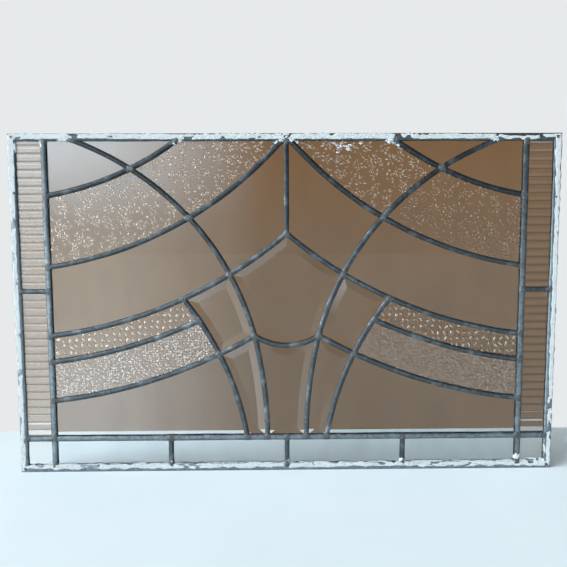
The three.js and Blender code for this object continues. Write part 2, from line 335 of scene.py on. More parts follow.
def grid_rim(rows: int, columns: int, start: int = 0) -> Array:
    """Vertex numbers round the edge of a grid: first column, last row, last column, then first row."""
    index = start + np.arange(rows * columns).reshape(rows, columns)
    return np.concatenate([index[:-1, 0], index[-1, :-1], index[:0:-1, -1], index[0, :0:-1]])


@dataclass
class Shape:
    """A mesh being put together from closed bodies.

    Fields:
        points: Vertices in millimetres.
        faces: Quads.
        caps: Flat faces with many corners, each a loop of vertex numbers.
        wear: A number at each vertex for the finish to read: rubbing and painted light on the lead, the
            raised share of the glass's pattern for its painted highlight.
    """

    points: Array = field(default_factory=lambda: np.zeros((0, 3)))
    faces: Array = field(default_factory=lambda: np.zeros((0, 4), int))
    caps: list[Array] = field(default_factory=list)
    wear: Array = field(default_factory=lambda: np.zeros(0))

    def add(self, points: Array, faces: Array, caps: Sequence[Array], wear: Array | float = 0.0) -> "Shape":
        """Adds a closed body, and turns its faces outwards.

        Args:
            points: Its vertices, N by 3.
            faces: Its quads, numbered from nought.
            caps: Its flat faces, wound the same way as the quads.
            wear: What the finish reads at each vertex.

        Returns:
            This shape, so that calls can be chained.
        """
        if enclosed(points, faces, caps) < 0:
            faces, caps = faces[:, ::-1], [cap[::-1] for cap in caps]
        self.faces = np.concatenate([self.faces, faces + len(self.points)])
        self.caps += [cap + len(self.points) for cap in caps]
        self.points = np.concatenate([self.points, points])
        self.wear = np.concatenate([self.wear, np.broadcast_to(wear, len(points))])
        return self

    def join(self, other: "Shape") -> "Shape":
        """Adds another shape's bodies to this one."""
        return self.add(other.points, other.faces, other.caps, other.wear)

    def build(self, name: str, material: Material, sharp_deg: float = 40.0) -> Object:
        """Makes the mesh object.

        Args:
            name: The piece's name.
            material: Its finish.
            sharp_deg: Edges that bend by more than this stay crisp.

        Returns:
            The new object, at the origin.
        """
        corners = np.concatenate([self.faces.ravel(), *self.caps]).astype(np.int32)
        sizes = np.array([4] * len(self.faces) + [len(cap) for cap in self.caps])
        starts = np.concatenate([[0], np.cumsum(sizes)[:-1]]).astype(np.int32)
        mesh = bpy.data.meshes.new(name)
        mesh.vertices.add(len(self.points))
        mesh.vertices.foreach_set("co", (self.points * MM).astype(np.float32).ravel())
        mesh.loops.add(len(corners))
        mesh.loops.foreach_set("vertex_index", corners)
        mesh.polygons.add(len(sizes))
        mesh.polygons.foreach_set("loop_start", starts)
        mesh.polygons.foreach_set("use_smooth", np.ones(len(sizes), bool))
        mesh.update(calc_edges=True)
        wear = mesh.attributes.new("wear", "FLOAT", "POINT")
        wear.data.foreach_set("value", self.wear.astype(np.float32))
        mesh.validate()
        mesh.set_sharp_from_angle(angle=math.radians(sharp_deg))
        mesh.materials.append(material)
        return put_in_scene(name, mesh)


def put_in_scene(name: str, data: bpy.types.ID) -> Object:
    """A new object of the scene, at the origin.

    Args:
        name: Its name.
        data: Its mesh, camera or light.

    Returns:
        The object.
    """
    thing = bpy.data.objects.new(name, data)
    bpy.context.scene.collection.objects.link(thing)
    return thing


def enclosed(points: Array, faces: Array, caps: Sequence[Array]) -> float:
    """Volume inside a closed body: a sixth of the sum of a . (b x c) over its triangles.

    Args:
        points: Its vertices.
        faces: Its quads.
        caps: Its flat faces.

    Returns:
        The volume in cubic millimetres, negative if the faces point inwards.
    """
    fans = [np.column_stack([np.full(len(cap) - 2, cap[0]), cap[1:-1], cap[2:]]) for cap in caps]
    triangles = np.concatenate([faces[:, [0, 1, 2]], faces[:, [0, 2, 3]], *fans])
    a, b, c = (points[triangles[:, k]] for k in range(3))
    return float(np.einsum("ij,ij->", a, np.cross(b, c))) / 6


def backed(face: Array, *loops: Array, wear: Array | float = 0.0) -> Shape:
    """A closed body with a grid for its face and a flat back.

    Args:
        face: Points of the face, rows by columns by 3.
        loops: Loops of points from the face's rim down to the back, in the order of grid_rim.
        wear: What the finish reads at each point of the face and the loops.

    Returns:
        The body.
    """
    rows, columns = face.shape[:2]
    rims = [grid_rim(rows, columns)]
    rims += [rows * columns + k * len(loop) + np.arange(len(loop)) for k, loop in enumerate(loops)]
    quads = [grid_faces(rows, columns)] + [band_faces(a, b)[:, ::-1] for a, b in zip(rims, rims[1:])]
    points = np.concatenate([face.reshape(-1, 3), *loops])
    return Shape().add(points, np.concatenate(quads), [rims[-1][::-1]], wear)


def tube(rings: Array, wear: Array | float = 0.0) -> Shape:
    """A closed body from rings of points, with a flat face inside the first ring and the last.

    Args:
        rings: Points, rings by points in a ring by 3.
        wear: What the finish reads at each.

    Returns:
        The body.
    """
    count, around = rings.shape[:2]
    index = np.arange(count * around).reshape(count, around)
    walls = np.concatenate([band_faces(index[i], index[i + 1]) for i in range(count - 1)])
    return Shape().add(rings.reshape(-1, 3), walls, [index[0][::-1], index[-1]], wear)


def finish_piece(piece: Object, slot: str, nodes: Sequence[str] = ()) -> None:
    """Fixes a piece to the panel and hides the solids that it stands for.

    Args:
        piece: The finished piece.
        slot: Its material slot. Not used.
        nodes: The names of its solids.
    """
    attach(piece, BODY)
    if nodes:
        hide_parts(*nodes)
    log.info("%-34s %7d quads", piece.name, len(piece.data.polygons))


# ---------------------------------------------------------------- noise and rolled patterns

# Points along a side of a noise's lattice, and nearly a full turn in radians.
LATTICE = 64
ROUND = 6.3


def eased(t: Array) -> Array:
    """The smooth rise 3t^2 - 2t^3, as t goes from 0 to 1."""
    return t * t * (3 - 2 * t)


def read_tile(tile: Array, u: Array, v: Array, ease: bool = False) -> Array:
    """Values of a repeating square tile, each blended from the four nearest of its points.

    Args:
        tile: The values, with u along the first index and v along the second.
        u: First coordinate of each place, in steps of the tile.
        v: Second coordinate.
        ease: True for a blend that is level at the tile's points, False for an even one.

    Returns:
        The value at each place: low (1 - t) + high t, where low and high are a (1 - s) + b s.
    """
    i, j = np.floor(u).astype(int), np.floor(v).astype(int)
    s, t = u - i, v - j
    if ease:
        s, t = eased(s), eased(t)
    count = len(tile)
    i, j, i_next, j_next = i % count, j % count, (i + 1) % count, (j + 1) % count
    low = tile[i, j] * (1 - s) + tile[i_next, j] * s
    high = tile[i, j_next] * (1 - s) + tile[i_next, j_next] * s
    return low * (1 - t) + high * t


def value_noise(x: Array, y: Array, size: float, seed: int) -> Array:
    """Smooth noise: random values on a square lattice, joined by a cubic blend.

    Args:
        x: First coordinate of each point.
        y: Second coordinate.
        size: Distance between lattice points.
        seed: Which noise.

    Returns:
        The noise at each point, from -1 to 1.
    """
    lattice = np.random.default_rng(seed).uniform(-1.0, 1.0, (LATTICE, LATTICE))
    return read_tile(lattice.T, x / size, y / size, ease=True)


def layered_noise(x: Array, y: Array, size: float, seed: int, octaves: int = 3) -> Array:
    """Sum of a number of noises, each half the size and half the strength of the one before."""
    return sum(value_noise(x, y, size / 2**k, seed + k) / 2**k for k in range(octaves))


@dataclass(frozen=True)
class RollerCells:
    """Scattered cell centres on a roller: one in each square of a lattice, moved about at random."""

    pitch: float
    jitter: float
    seed: int
    cells: int = 16

    def nearest(self, x: Array, z: Array) -> tuple[Array, Array]:
        """Finds the nearest centre to each point, among those of the nine squares about it.

        Args:
            x: First coordinate of each point.
            z: Second coordinate.

        Returns:
            The distances to the nearest centres, and a random number from 0 to 1 of each of those.
        """
        rng = np.random.default_rng(self.seed)
        moved = 0.5 + self.jitter * rng.uniform(-0.5, 0.5, (2, self.cells, self.cells))
        numbers = rng.uniform(0.0, 1.0, (self.cells, self.cells))
        column, row = np.floor(x / self.pitch).astype(int), np.floor(z / self.pitch).astype(int)
        near, number = np.full(x.shape, np.inf), np.zeros(x.shape)
        for i, j in product((-1, 0, 1), repeat=2):
            c, r = (column + i) % self.cells, (row + j) % self.cells
            gap = np.hypot((column + i + moved[0, r, c]) * self.pitch - x,
                           (row + j + moved[1, r, c]) * self.pitch - z)
            number = np.where(gap < near, numbers[r, c], number)
            near = np.minimum(gap, near)
        return near, number


class Relief:
    """The height of a pane's face above its lowest level, in millimetres.

    Its spacings are the distances between mesh points along the pane's first edge and along its second.
    """

    spacing: Pair = (4.0, 4.0)

    def height(self, x: Array, z: Array) -> Array:
        """Height at each point of the pane."""
        raise NotImplementedError

    def crest(self, x: Array, z: Array) -> Array:
        """How far up the pattern's raised parts each point is, from 0 to 1. Plain sheet has none."""
        return np.zeros_like(x)


@dataclass(frozen=True)
class Drawn(Relief):
    """Clear drawn sheet: a slow wave, as old sheet has.

    Fields:
        wave: Its length across.
        stretch: How many times longer it is upwards.
        cut_from: Where in the noise the panel's middle lies, both ways.
        seed: Which noise.
    """

    depth: float = 0.06
    wave: float = 37.5
    stretch: float = 2.2
    cut_from: float = 500.0
    seed: int = 5

    def height(self, x: Array, z: Array) -> Array:
        """Two layers of smooth noise, stretched upwards as the sheet was drawn."""
        noise = layered_noise(x + self.cut_from, z / self.stretch + self.cut_from, self.wave, self.seed, 2)
        return self.depth * (1 + noise)


@dataclass(frozen=True)
class MarkSizes:
    """Least and most half length, half width and bend of a kind of mark."""

    length: Pair
    width: Pair
    bend: Pair

    def drawn(self, rng: np.random.Generator, count: int) -> Array:
        """The three sizes of a number of marks, one mark to a row."""
        return np.column_stack([rng.uniform(*span, count) for span in (self.length, self.width, self.bend)])


@dataclass(frozen=True)
class Embossed(Relief):
    """A rolled pattern of raised oval marks. The roller repeats, so they are put together once on a tile.

    Fields:
        largest: More than half the length of the longest mark.
        shoulder: Width of a mark's rounded shoulder. Inside it the mark is flat.
        parting: How deep the groove between two crossing marks is, as a share of the depth.
    """

    tile: float = 128.0
    step: float = 0.25
    pitch: float = 18.0
    largest: float = 6.5
    shoulder: float = 1.15
    depth: float = 0.45
    parting: float = 0.8
    seed: int = 11
    spacing: Pair = (0.62, 0.62)

    def marks(self, rng: np.random.Generator, count: int) -> Array:
        """Lays out the marks on the tile.

        Args:
            rng: Where the unevenness comes from.
            count: Groups along a side of the tile.

        Returns:
            Centre x, centre z, direction, half length, half width and bend of each mark.
        """
        raise NotImplementedError

    @cached_property
    def table(self) -> Array:
        """The tile's heights: the highest mark less a share of the next, so a groove parts two that cross.

        A mark rises smoothly, as 3t^2 - 2t^3, over its shoulder.

        Returns:
            Heights as shares of the depth, with x along the first index.
        """
        count = round(self.tile / self.step)
        reach = round(self.largest / self.step)
        heights, seconds = np.zeros((2, count, count))
        groups = round(self.tile / self.pitch)
        for cx, cz, angle, length, width, bend in self.marks(np.random.default_rng(self.seed), groups):
            columns, rows = (np.arange(-reach, reach) + round(c / self.step) for c in (cx, cz))
            dx, dz = columns[:, None] * self.step - cx, rows[None, :] * self.step - cz
            along = dx * math.cos(angle) + dz * math.sin(angle)
            across = -dx * math.sin(angle) + dz * math.cos(angle)
            inside = 1 - np.hypot(along / length, (across - bend * along**2) / width)
            rise = eased(np.clip(inside * width / self.shoulder, 0, 1))
            window = np.ix_(columns % count, rows % count)
            seconds[window] = np.maximum(seconds[window], np.minimum(heights[window], rise))
            heights[window] = np.maximum(heights[window], rise)
        return heights - self.parting * seconds

    def height(self, x: Array, z: Array) -> Array:
        """The tile's height, read between its points."""
        return self.depth * read_tile(self.table, x / self.step, z / self.step)

    def crest(self, x: Array, z: Array) -> Array:
        """The height as a share of the depth."""
        return self.height(x, z) / self.depth


@dataclass(frozen=True)
class Floral(Embossed):
    """Flowers: petals raised about scattered centres, with leaves between.

    Fields:
        stray: How far a flower is moved in its square, as a share of the square.
        petals: Fewest petals to a flower, and one more than the most.
        ring: Least and most distance of a petal's middle from its flower's.
        fan: How far a petal strays round its flower, in radians.
        turn: How far the turned share of the petals is turned, in radians.
        sway: How far a petal's direction strays, in radians.
        middle: Half length and half width of a flower's middle.
    """

    stray: float = 0.3
    petals: tuple[int, int] = (5, 8)
    ring: Pair = (3.8, 5.6)
    fan: float = 0.25
    turn: float = 1.4
    turned: float = 0.4
    sway: float = 0.3
    petal: MarkSizes = MarkSizes((2.6, 4.4), (0.95, 1.35), (-0.07, 0.07))
    middle: Pair = (1.3, 1.1)
    leaves: int = 7
    leaf: MarkSizes = MarkSizes((2.0, 4.6), (0.85, 1.25), (-0.08, 0.08))

    def marks(self, rng: np.random.Generator, count: int) -> Array:
        """A ring of petals and a middle for each flower, and curled leaves scattered over all.

        Args:
            rng: Where the unevenness comes from.
            count: Groups along a side of the tile.

        Returns:
            The marks, one to a row.
        """
        rows = []
        for square in product(range(count), repeat=2):
            x, z = (np.array(square) + 0.5 + rng.uniform(-self.stray, self.stray, 2)) * self.tile / count
            petals = rng.integers(*self.petals)
            angle = rng.uniform(0, ROUND) + np.arange(petals) * 2 * math.pi / petals
            angle += rng.uniform(-self.fan, self.fan, petals)
            reach = rng.uniform(*self.ring, petals)
            lean = rng.choice([0.0, self.turn], petals, p=[1 - self.turned, self.turned])
            lean = lean + rng.uniform(-self.sway, self.sway, petals)
            rows.append(np.column_stack([x + reach * np.cos(angle), z + reach * np.sin(angle), angle + lean,
                                         self.petal.drawn(rng, petals)]))
            rows.append(np.array([[x, z, 0.0, *self.middle, 0.0]]))
        scattered = self.leaves * count * count
        rows.append(np.column_stack([rng.uniform(0, self.tile, (scattered, 2)),
                                     rng.uniform(0, ROUND, scattered), self.leaf.drawn(rng, scattered)]))
        return np.concatenate(rows)


@dataclass(frozen=True)
class Hammered(Embossed):
    """Plump leaf-shaped marks of the hammer, crossing this way and that.

    Fields:
        stray: How far a mark is moved from its place in the rows, as a share of their pitch.
        leans: The two directions that the marks take by turns, in radians.
        sway: How far a mark's direction strays.
    """

    pitch: float = 128 / 17
    shoulder: float = 1.6
    depth: float = 1.0
    parting: float = 0.3
    seed: int = 23
    spacing: Pair = (0.7, 0.7)
    stray: float = 0.18
    leans: Pair = (0.9, 2.3)
    sway: float = 0.4
    leaf: MarkSizes = MarkSizes((3.8, 5.4), (1.4, 2.0), (-0.03, 0.05))

    def marks(self, rng: np.random.Generator, count: int) -> Array:
        """One leaf to a group, leaning one way and then the other.

        Args:
            rng: Where the unevenness comes from.
            count: Groups along a side of the tile.

        Returns:
            The marks, one to a row.
        """
        i, j = (v.ravel() for v in np.meshgrid(np.arange(count), np.arange(count), indexing="ij"))
        moved = rng.uniform(-self.stray, self.stray, (2, i.size))
        lean = np.where((i + j) % 2 == 0, *self.leans) + rng.uniform(-self.sway, self.sway, i.size)
        return np.column_stack([(i + 0.5 + moved[0]) * self.pitch, (j + 0.5 + moved[1]) * self.pitch, lean,
                                self.leaf.drawn(rng, i.size)])


@dataclass(frozen=True)
class Stippled(Relief):
    """A fine pebbled face.

    Fields:
        radius: How far a pebble spreads, as a share of their pitch.
        lowest: Height of the lowest, as a share of the depth.
    """

    cells: RollerCells = RollerCells(pitch=3.0, jitter=0.7, seed=37, cells=32)
    depth: float = 0.62
    radius: float = 0.62
    lowest: float = 0.6
    spacing: Pair = (0.6, 0.6)

    def height(self, x: Array, z: Array) -> Array:
        """A rounded pebble 1 - (distance / radius)^2 about each centre, and each of its own height.

        Args:
            x: Across, to each point.
            z: Up, to each point.

        Returns:
            The heights.
        """
        near, number = self.cells.nearest(x, z)
        dome = np.clip(1 - (near / (self.radius * self.cells.pitch)) ** 2, 0, 1)
        return self.depth * dome * (self.lowest + (1 - self.lowest) * number)

    def crest(self, x: Array, z: Array) -> Array:
        """The height as a share of the depth, squared."""
        return (self.height(x, z) / self.depth) ** 2


@dataclass(frozen=True)
class Reeded(Relief):
    """Half-round reeds side by side along one axis.

    Fields:
        axis: 0 for reeds counted along X, 1 for reeds counted along Z.
        across: Distance between mesh points across the reeds.
        lengthways: The same along the reeds.
    """

    axis: int
    start: float
    pitch: float
    depth: float = 0.65
    across: float = 0.42
    lengthways: float = 12.0

    @property
    def spacing(self) -> Pair:
        """Close together across the reeds and far apart along them: a patch's first edge is upright."""
        return (self.across, self.lengthways) if self.axis else (self.lengthways, self.across)

    def height(self, x: Array, z: Array) -> Array:
        """Each reed is an arch (1 - s^2)^0.75, with s from -1 to 1 across it.

        Args:
            x: Across, to each point.
            z: Up, to each point.

        Returns:
            The heights.
        """
        along = z if self.axis else x
        s = 2 * (((along - self.start) / self.pitch) % 1.0) - 1
        return self.depth * np.clip(1 - s**2, 0, 1) ** 0.75

    def crest(self, x: Array, z: Array) -> Array:
        """The height as a share of the depth."""
        return self.height(x, z) / self.depth


# ---------------------------------------------------------------- finishes

# Sockets of a colour Mix node: its two colours and its result.
MIX_FIRST, MIX_SECOND, MIX_RESULT = 6, 7, 2

# The part of a noise's range that most of it lies in.
NOISE_LOW, NOISE_HIGH = 0.3, 0.7


class Graph:
    """A node tree, with short ways to add the nodes that work out a colour or a number."""

    def __init__(self, tree: bpy.types.NodeTree) -> None:
        """Takes the tree to add to."""
        self.tree = tree

    def add(self, kind: str, inputs: dict[str | int, object] | None = None,
            **settings: object) -> bpy.types.Node:
        """Adds a node.

        Args:
            kind: Its type.
            inputs: What each of its inputs is fed with: an output, a number or a colour.
            settings: Its settings, by name.

        Returns:
            The node.
        """
        node = self.tree.nodes.new(kind)
        for name, value in settings.items():
            setattr(node, name, value)
        for name, value in (inputs or {}).items():
            self.feed(node.inputs[name], value)
        return node

    def feed(self, target: Socket, value: object) -> None:
        """Joins an output to an input, or sets a plain number or colour on it.

        Args:
            target: The input.
            value: An output, a number or a colour.
        """
        if isinstance(value, Socket):
            self.tree.links.new(value, target)
        elif isinstance(value, tuple) and target.type == "RGBA":
            target.default_value = (*value, 1.0)
        else:
            target.default_value = value

    def scale(self, source: Socket, low: float, high: float, to_low: float = 0.0,
              to_high: float = 1.0) -> Socket:
        """A number carried from one range to another, and held inside it."""
        inputs = {"Value": source, "From Min": low, "From Max": high, "To Min": to_low, "To Max": to_high}
        return self.add("ShaderNodeMapRange", inputs, clamp=True).outputs["Result"]

    def mix(self, factor: object, first: object, second: object) -> Socket:
        """A colour between two, each a colour or an output."""
        inputs = {"Factor": factor, MIX_FIRST: first, MIX_SECOND: second}
        return self.add("ShaderNodeMix", inputs, data_type="RGBA").outputs[MIX_RESULT]

    def maths(self, operation: str, first: object, second: object = 0.0) -> Socket:
        """One sum of two numbers, each a number or an output."""
        return self.add("ShaderNodeMath", {0: first, 1: second}, operation=operation).outputs[0]

    def ramp(self, source: Socket, *stops: tuple[float, Colour]) -> Socket:
        """Turns a number into a colour.

        Args:
            source: The number.
            stops: Places on the ramp, each with its colour.

        Returns:
            The colour's output.
        """
        node = self.add("ShaderNodeValToRGB", {"Fac": source})
        elements = node.color_ramp.elements
        while len(elements) < len(stops):
            elements.new(0.5)
        for element, (position, colour) in zip(elements, stops):
            element.position = position
            element.color = (*colour, 1.0)
        return node.outputs["Color"]


class Nodes(Graph):
    """A new material with its principled shader, and short ways to feed it."""

    def __init__(self, name: str) -> None:
        """Starts a material with a given name.

        Args:
            name: Its name.
        """
        self.material = bpy.data.materials.new(name)
        self.material.use_nodes = True
        super().__init__(self.material.node_tree)
        self.shader = self.tree.nodes["Principled BSDF"]
        self.coordinates = self.add("ShaderNodeTexCoord").outputs["Object"]

    def plain(self, **values: object) -> None:
        """Sets plain values on the shader. An underscore in a name stands for a space."""
        for name, value in values.items():
            self.shader.inputs[name.replace("_", " ")].default_value = value

    def noise(self, scale: float, detail: float = 4.0, roughness: float = 0.55,
              stretch: tuple[float, float, float] = (1, 1, 1)) -> Socket:
        """A noise texture on the piece's own coordinates.

        Args:
            scale: Waves to the metre.
            detail: Layers of finer noise.
            roughness: How strong the finer layers are.
            stretch: How many more waves there are along each axis.

        Returns:
            The noise, from 0 to 1.
        """
        mapping = self.add("ShaderNodeMapping", {"Vector": self.coordinates, "Scale": stretch})
        inputs = {"Vector": mapping.outputs["Vector"], "Scale": scale, "Detail": detail,
                  "Roughness": roughness}
        return self.add("ShaderNodeTexNoise", inputs).outputs["Fac"]

    def up(self) -> Socket:
        """The height over the panel's foot, in metres."""
        return self.add("ShaderNodeSeparateXYZ", {0: self.coordinates}).outputs["Z"]

    def wear(self) -> Socket:
        """The number that the mesh carries at each vertex."""
        return self.add("ShaderNodeAttribute", attribute_name="wear").outputs["Fac"]

    def colour(self, source: object) -> None:
        """Feeds the base colour."""
        self.feed(self.shader.inputs["Base Color"], source)

    def roughness(self, source: object) -> None:
        """Feeds the roughness."""
        self.feed(self.shader.inputs["Roughness"], source)

    def bump(self, height: Socket, distance: float, strength: float = 1.0) -> None:
        """Feeds the normal from a height. Its full range stands the distance high, in metres."""
        node = self.add("ShaderNodeBump", {"Strength": strength, "Distance": distance, "Height": height})
        self.feed(self.shader.inputs["Normal"], node.outputs["Normal"])


@dataclass(frozen=True)
class LeadFinish:
    """Dull blue-grey lead: crowns painted lighter, partly rubbing and partly painted light, and painted shade
    higher up, darker and less bright, as the lower cames catch the floor's light.

    Fields:
        turns_dark: Heights in metres between which the painted shade comes in.
        darkened: How far the clouds are darkened above that, as painted shade.
        rubbed: What is left above that of the crowns' rubbing and painted light, as a share.
    """

    dark: Colour = (0.008, 0.011, 0.014)
    middle: Colour = (0.018, 0.024, 0.030)
    light: Colour = (0.235, 0.29, 0.325)
    roughness: Pair = (0.34, 0.56)
    turns_dark: Pair = (0.22, 0.36)
    darkened: float = 0.6
    rubbed: float = 0.4

    def material(self, name: str) -> Material:
        """Builds the finish: clouded colour, crowns lighter for rubbing and painted light, painted shade
        higher up, fine scratches and dents.

        Args:
            name: Its name.

        Returns:
            The material.
        """
        nodes = Nodes(name)
        clouds = nodes.ramp(nodes.noise(55, 6, 0.65),
                            (0.30, self.dark), (0.52, self.middle), (0.80, self.light))
        # Painted shade: the clouds darken higher up, so the lower cames look lit by the floor.
        clouds = nodes.mix(nodes.scale(nodes.up(), *self.turns_dark, 0.0, self.darkened), clouds, self.dark)
        patches = nodes.scale(nodes.noise(240, 5, 0.7), 0.28, 0.64, 0.3, 0.95)
        # The crowns' lighter colour: partly rubbing, partly painted light; it fades higher up as painted
        # shade.
        rubbed = nodes.maths("MULTIPLY", nodes.wear(), patches)
        rubbed = nodes.maths("MULTIPLY", rubbed, nodes.scale(nodes.up(), *self.turns_dark, 1.0, self.rubbed))
        nodes.colour(nodes.mix(rubbed, clouds, self.light))
        nodes.roughness(nodes.scale(nodes.noise(320, 4), NOISE_LOW, NOISE_HIGH, *self.roughness))
        nodes.plain(Metallic=0.8)
        nodes.bump(nodes.noise(900, 5, 0.6), 0.0003, 0.5)
        return nodes.material


@dataclass(frozen=True)
class GlassFinish:
    """Clear glass with a faint tint, and a film of dust that dulls it here and there.

    Fields:
        bloom: Colour of the pattern's raised parts: where age has dulled them, and a painted highlight for
            the glints they catch.
        dulled: How far the raised parts have lost their clearness, from 0 to 1, which lets their painted
            highlight show.
        settled: Colour at the foot of the raised parts: dirt, and painted shade round each mark.
        frosted: How much rougher the raised parts are.
        ripple: Height of the sheet's finest waves, in metres.
    """

    tint: Colour = (0.955, 0.975, 0.965)
    film: Colour = (0.86, 0.87, 0.86)
    bloom: Colour = (0.84, 0.69, 0.53)
    dulled: float = 0.0
    settled: Colour = (0.42, 0.36, 0.29)
    frosted: float = 0.22
    roughness: Pair = (0.0, 0.015)
    ripple: float = 0.00002

    def material(self, name: str) -> Material:
        """Builds the finish. The glass is see-through by the shader's own transmission.

        Args:
            name: Its name.

        Returns:
            The material.
        """
        nodes = Nodes(name)
        cloud = nodes.scale(nodes.noise(18, 5, 0.6, (1, 1, 0.5)), 0.45, 0.75)
        colour = nodes.mix(cloud, self.tint, self.film)
        rough = nodes.scale(cloud, 0.0, 1.0, *self.roughness)
        nodes.plain(Transmission_Weight=1.0, IOR=1.5)
        # Painted highlight: the raised parts turn cream and cloudy, partly for age's dulling and partly for
        # the glints they catch.
        if self.dulled:
            raised = nodes.wear()
            # Painted shade and dirt at the foot of the raised parts.
            foot = nodes.maths("MULTIPLY", nodes.scale(raised, 0.02, 0.22), nodes.scale(raised, 0.7, 0.35))
            colour = nodes.mix(raised, nodes.mix(foot, colour, self.settled), self.bloom)
            clearness = nodes.scale(raised, 0.0, 1.0, 1.0, 1 - self.dulled)
            nodes.feed(nodes.shader.inputs["Transmission Weight"], clearness)
            rough = nodes.maths("ADD", nodes.maths("MULTIPLY", raised, self.frosted), rough)
        nodes.roughness(rough)
        nodes.colour(colour)
        nodes.bump(nodes.noise(60, 2), self.ripple)
        return nodes.material


@dataclass(frozen=True)
class PaintFinish:
    """Old white gloss paint and putty, chalky, with grime in its cracks."""

    clean: Colour = (0.46, 0.52, 0.55)
    grime: Colour = (0.24, 0.24, 0.23)
    roughness: Pair = (0.55, 0.85)

    def material(self, name: str) -> Material:
        """Builds the finish from blotches and fine cracks.

        Args:
            name: Its name.

        Returns:
            The material.
        """
        nodes = Nodes(name)
        dirt = nodes.scale(nodes.noise(420, 6, 0.7), 0.52, 0.72)
        nodes.colour(nodes.mix(dirt, self.clean, self.grime))
        nodes.roughness(nodes.scale(nodes.noise(200), NOISE_LOW, NOISE_HIGH, *self.roughness))
        nodes.bump(nodes.noise(1400, 6, 0.7), 0.0006, 0.7)
        return nodes.material


@dataclass(frozen=True)
class SolderFinish:
    """Tin-lead solder: greyer and rougher than the came, with bright specks."""

    dark: Colour = (0.03, 0.038, 0.044)
    light: Colour = (0.16, 0.185, 0.205)
    roughness: Pair = (0.4, 0.7)

    def material(self, name: str) -> Material:
        """Builds the finish from a coarse speckle.

        Args:
            name: Its name.

        Returns:
            The material.
        """
        nodes = Nodes(name)
        nodes.colour(nodes.ramp(nodes.noise(500, 6, 0.7), (0.35, self.dark), (0.72, self.light)))
        nodes.roughness(nodes.scale(nodes.noise(700), NOISE_LOW, NOISE_HIGH, *self.roughness))
        nodes.plain(Metallic=0.6)
        nodes.bump(nodes.noise(1200, 5, 0.7), 0.0006, 0.7)
        return nodes.material


# ---------------------------------------------------------------- glass


@dataclass(frozen=True)
class GlassFit:
    """How the glass sits in the cames.

    Fields:
        edge: From a came's centre line to the glass.
        border_edge: From the panel's edge to the glass.
        face: Y of a sheet's face, halfway up its relief where that is lower than sunk.
        bevel_edge: Y at the foot of a bevel, which rises to bevel_face.
    """

    edge: float = 1.4
    border_edge: float = 2.5
    back: float = 1.5
    face: float = -1.5
    sunk: float = 0.6
    bevel_width: float = 10.0
    bevel_edge: float = -0.9
    bevel_face: float = -3.2
    bevel_spacing: float = 6.0


# Steps that an edge is measured in, to settle how many it is built of.
MEASURING_STEPS = 16


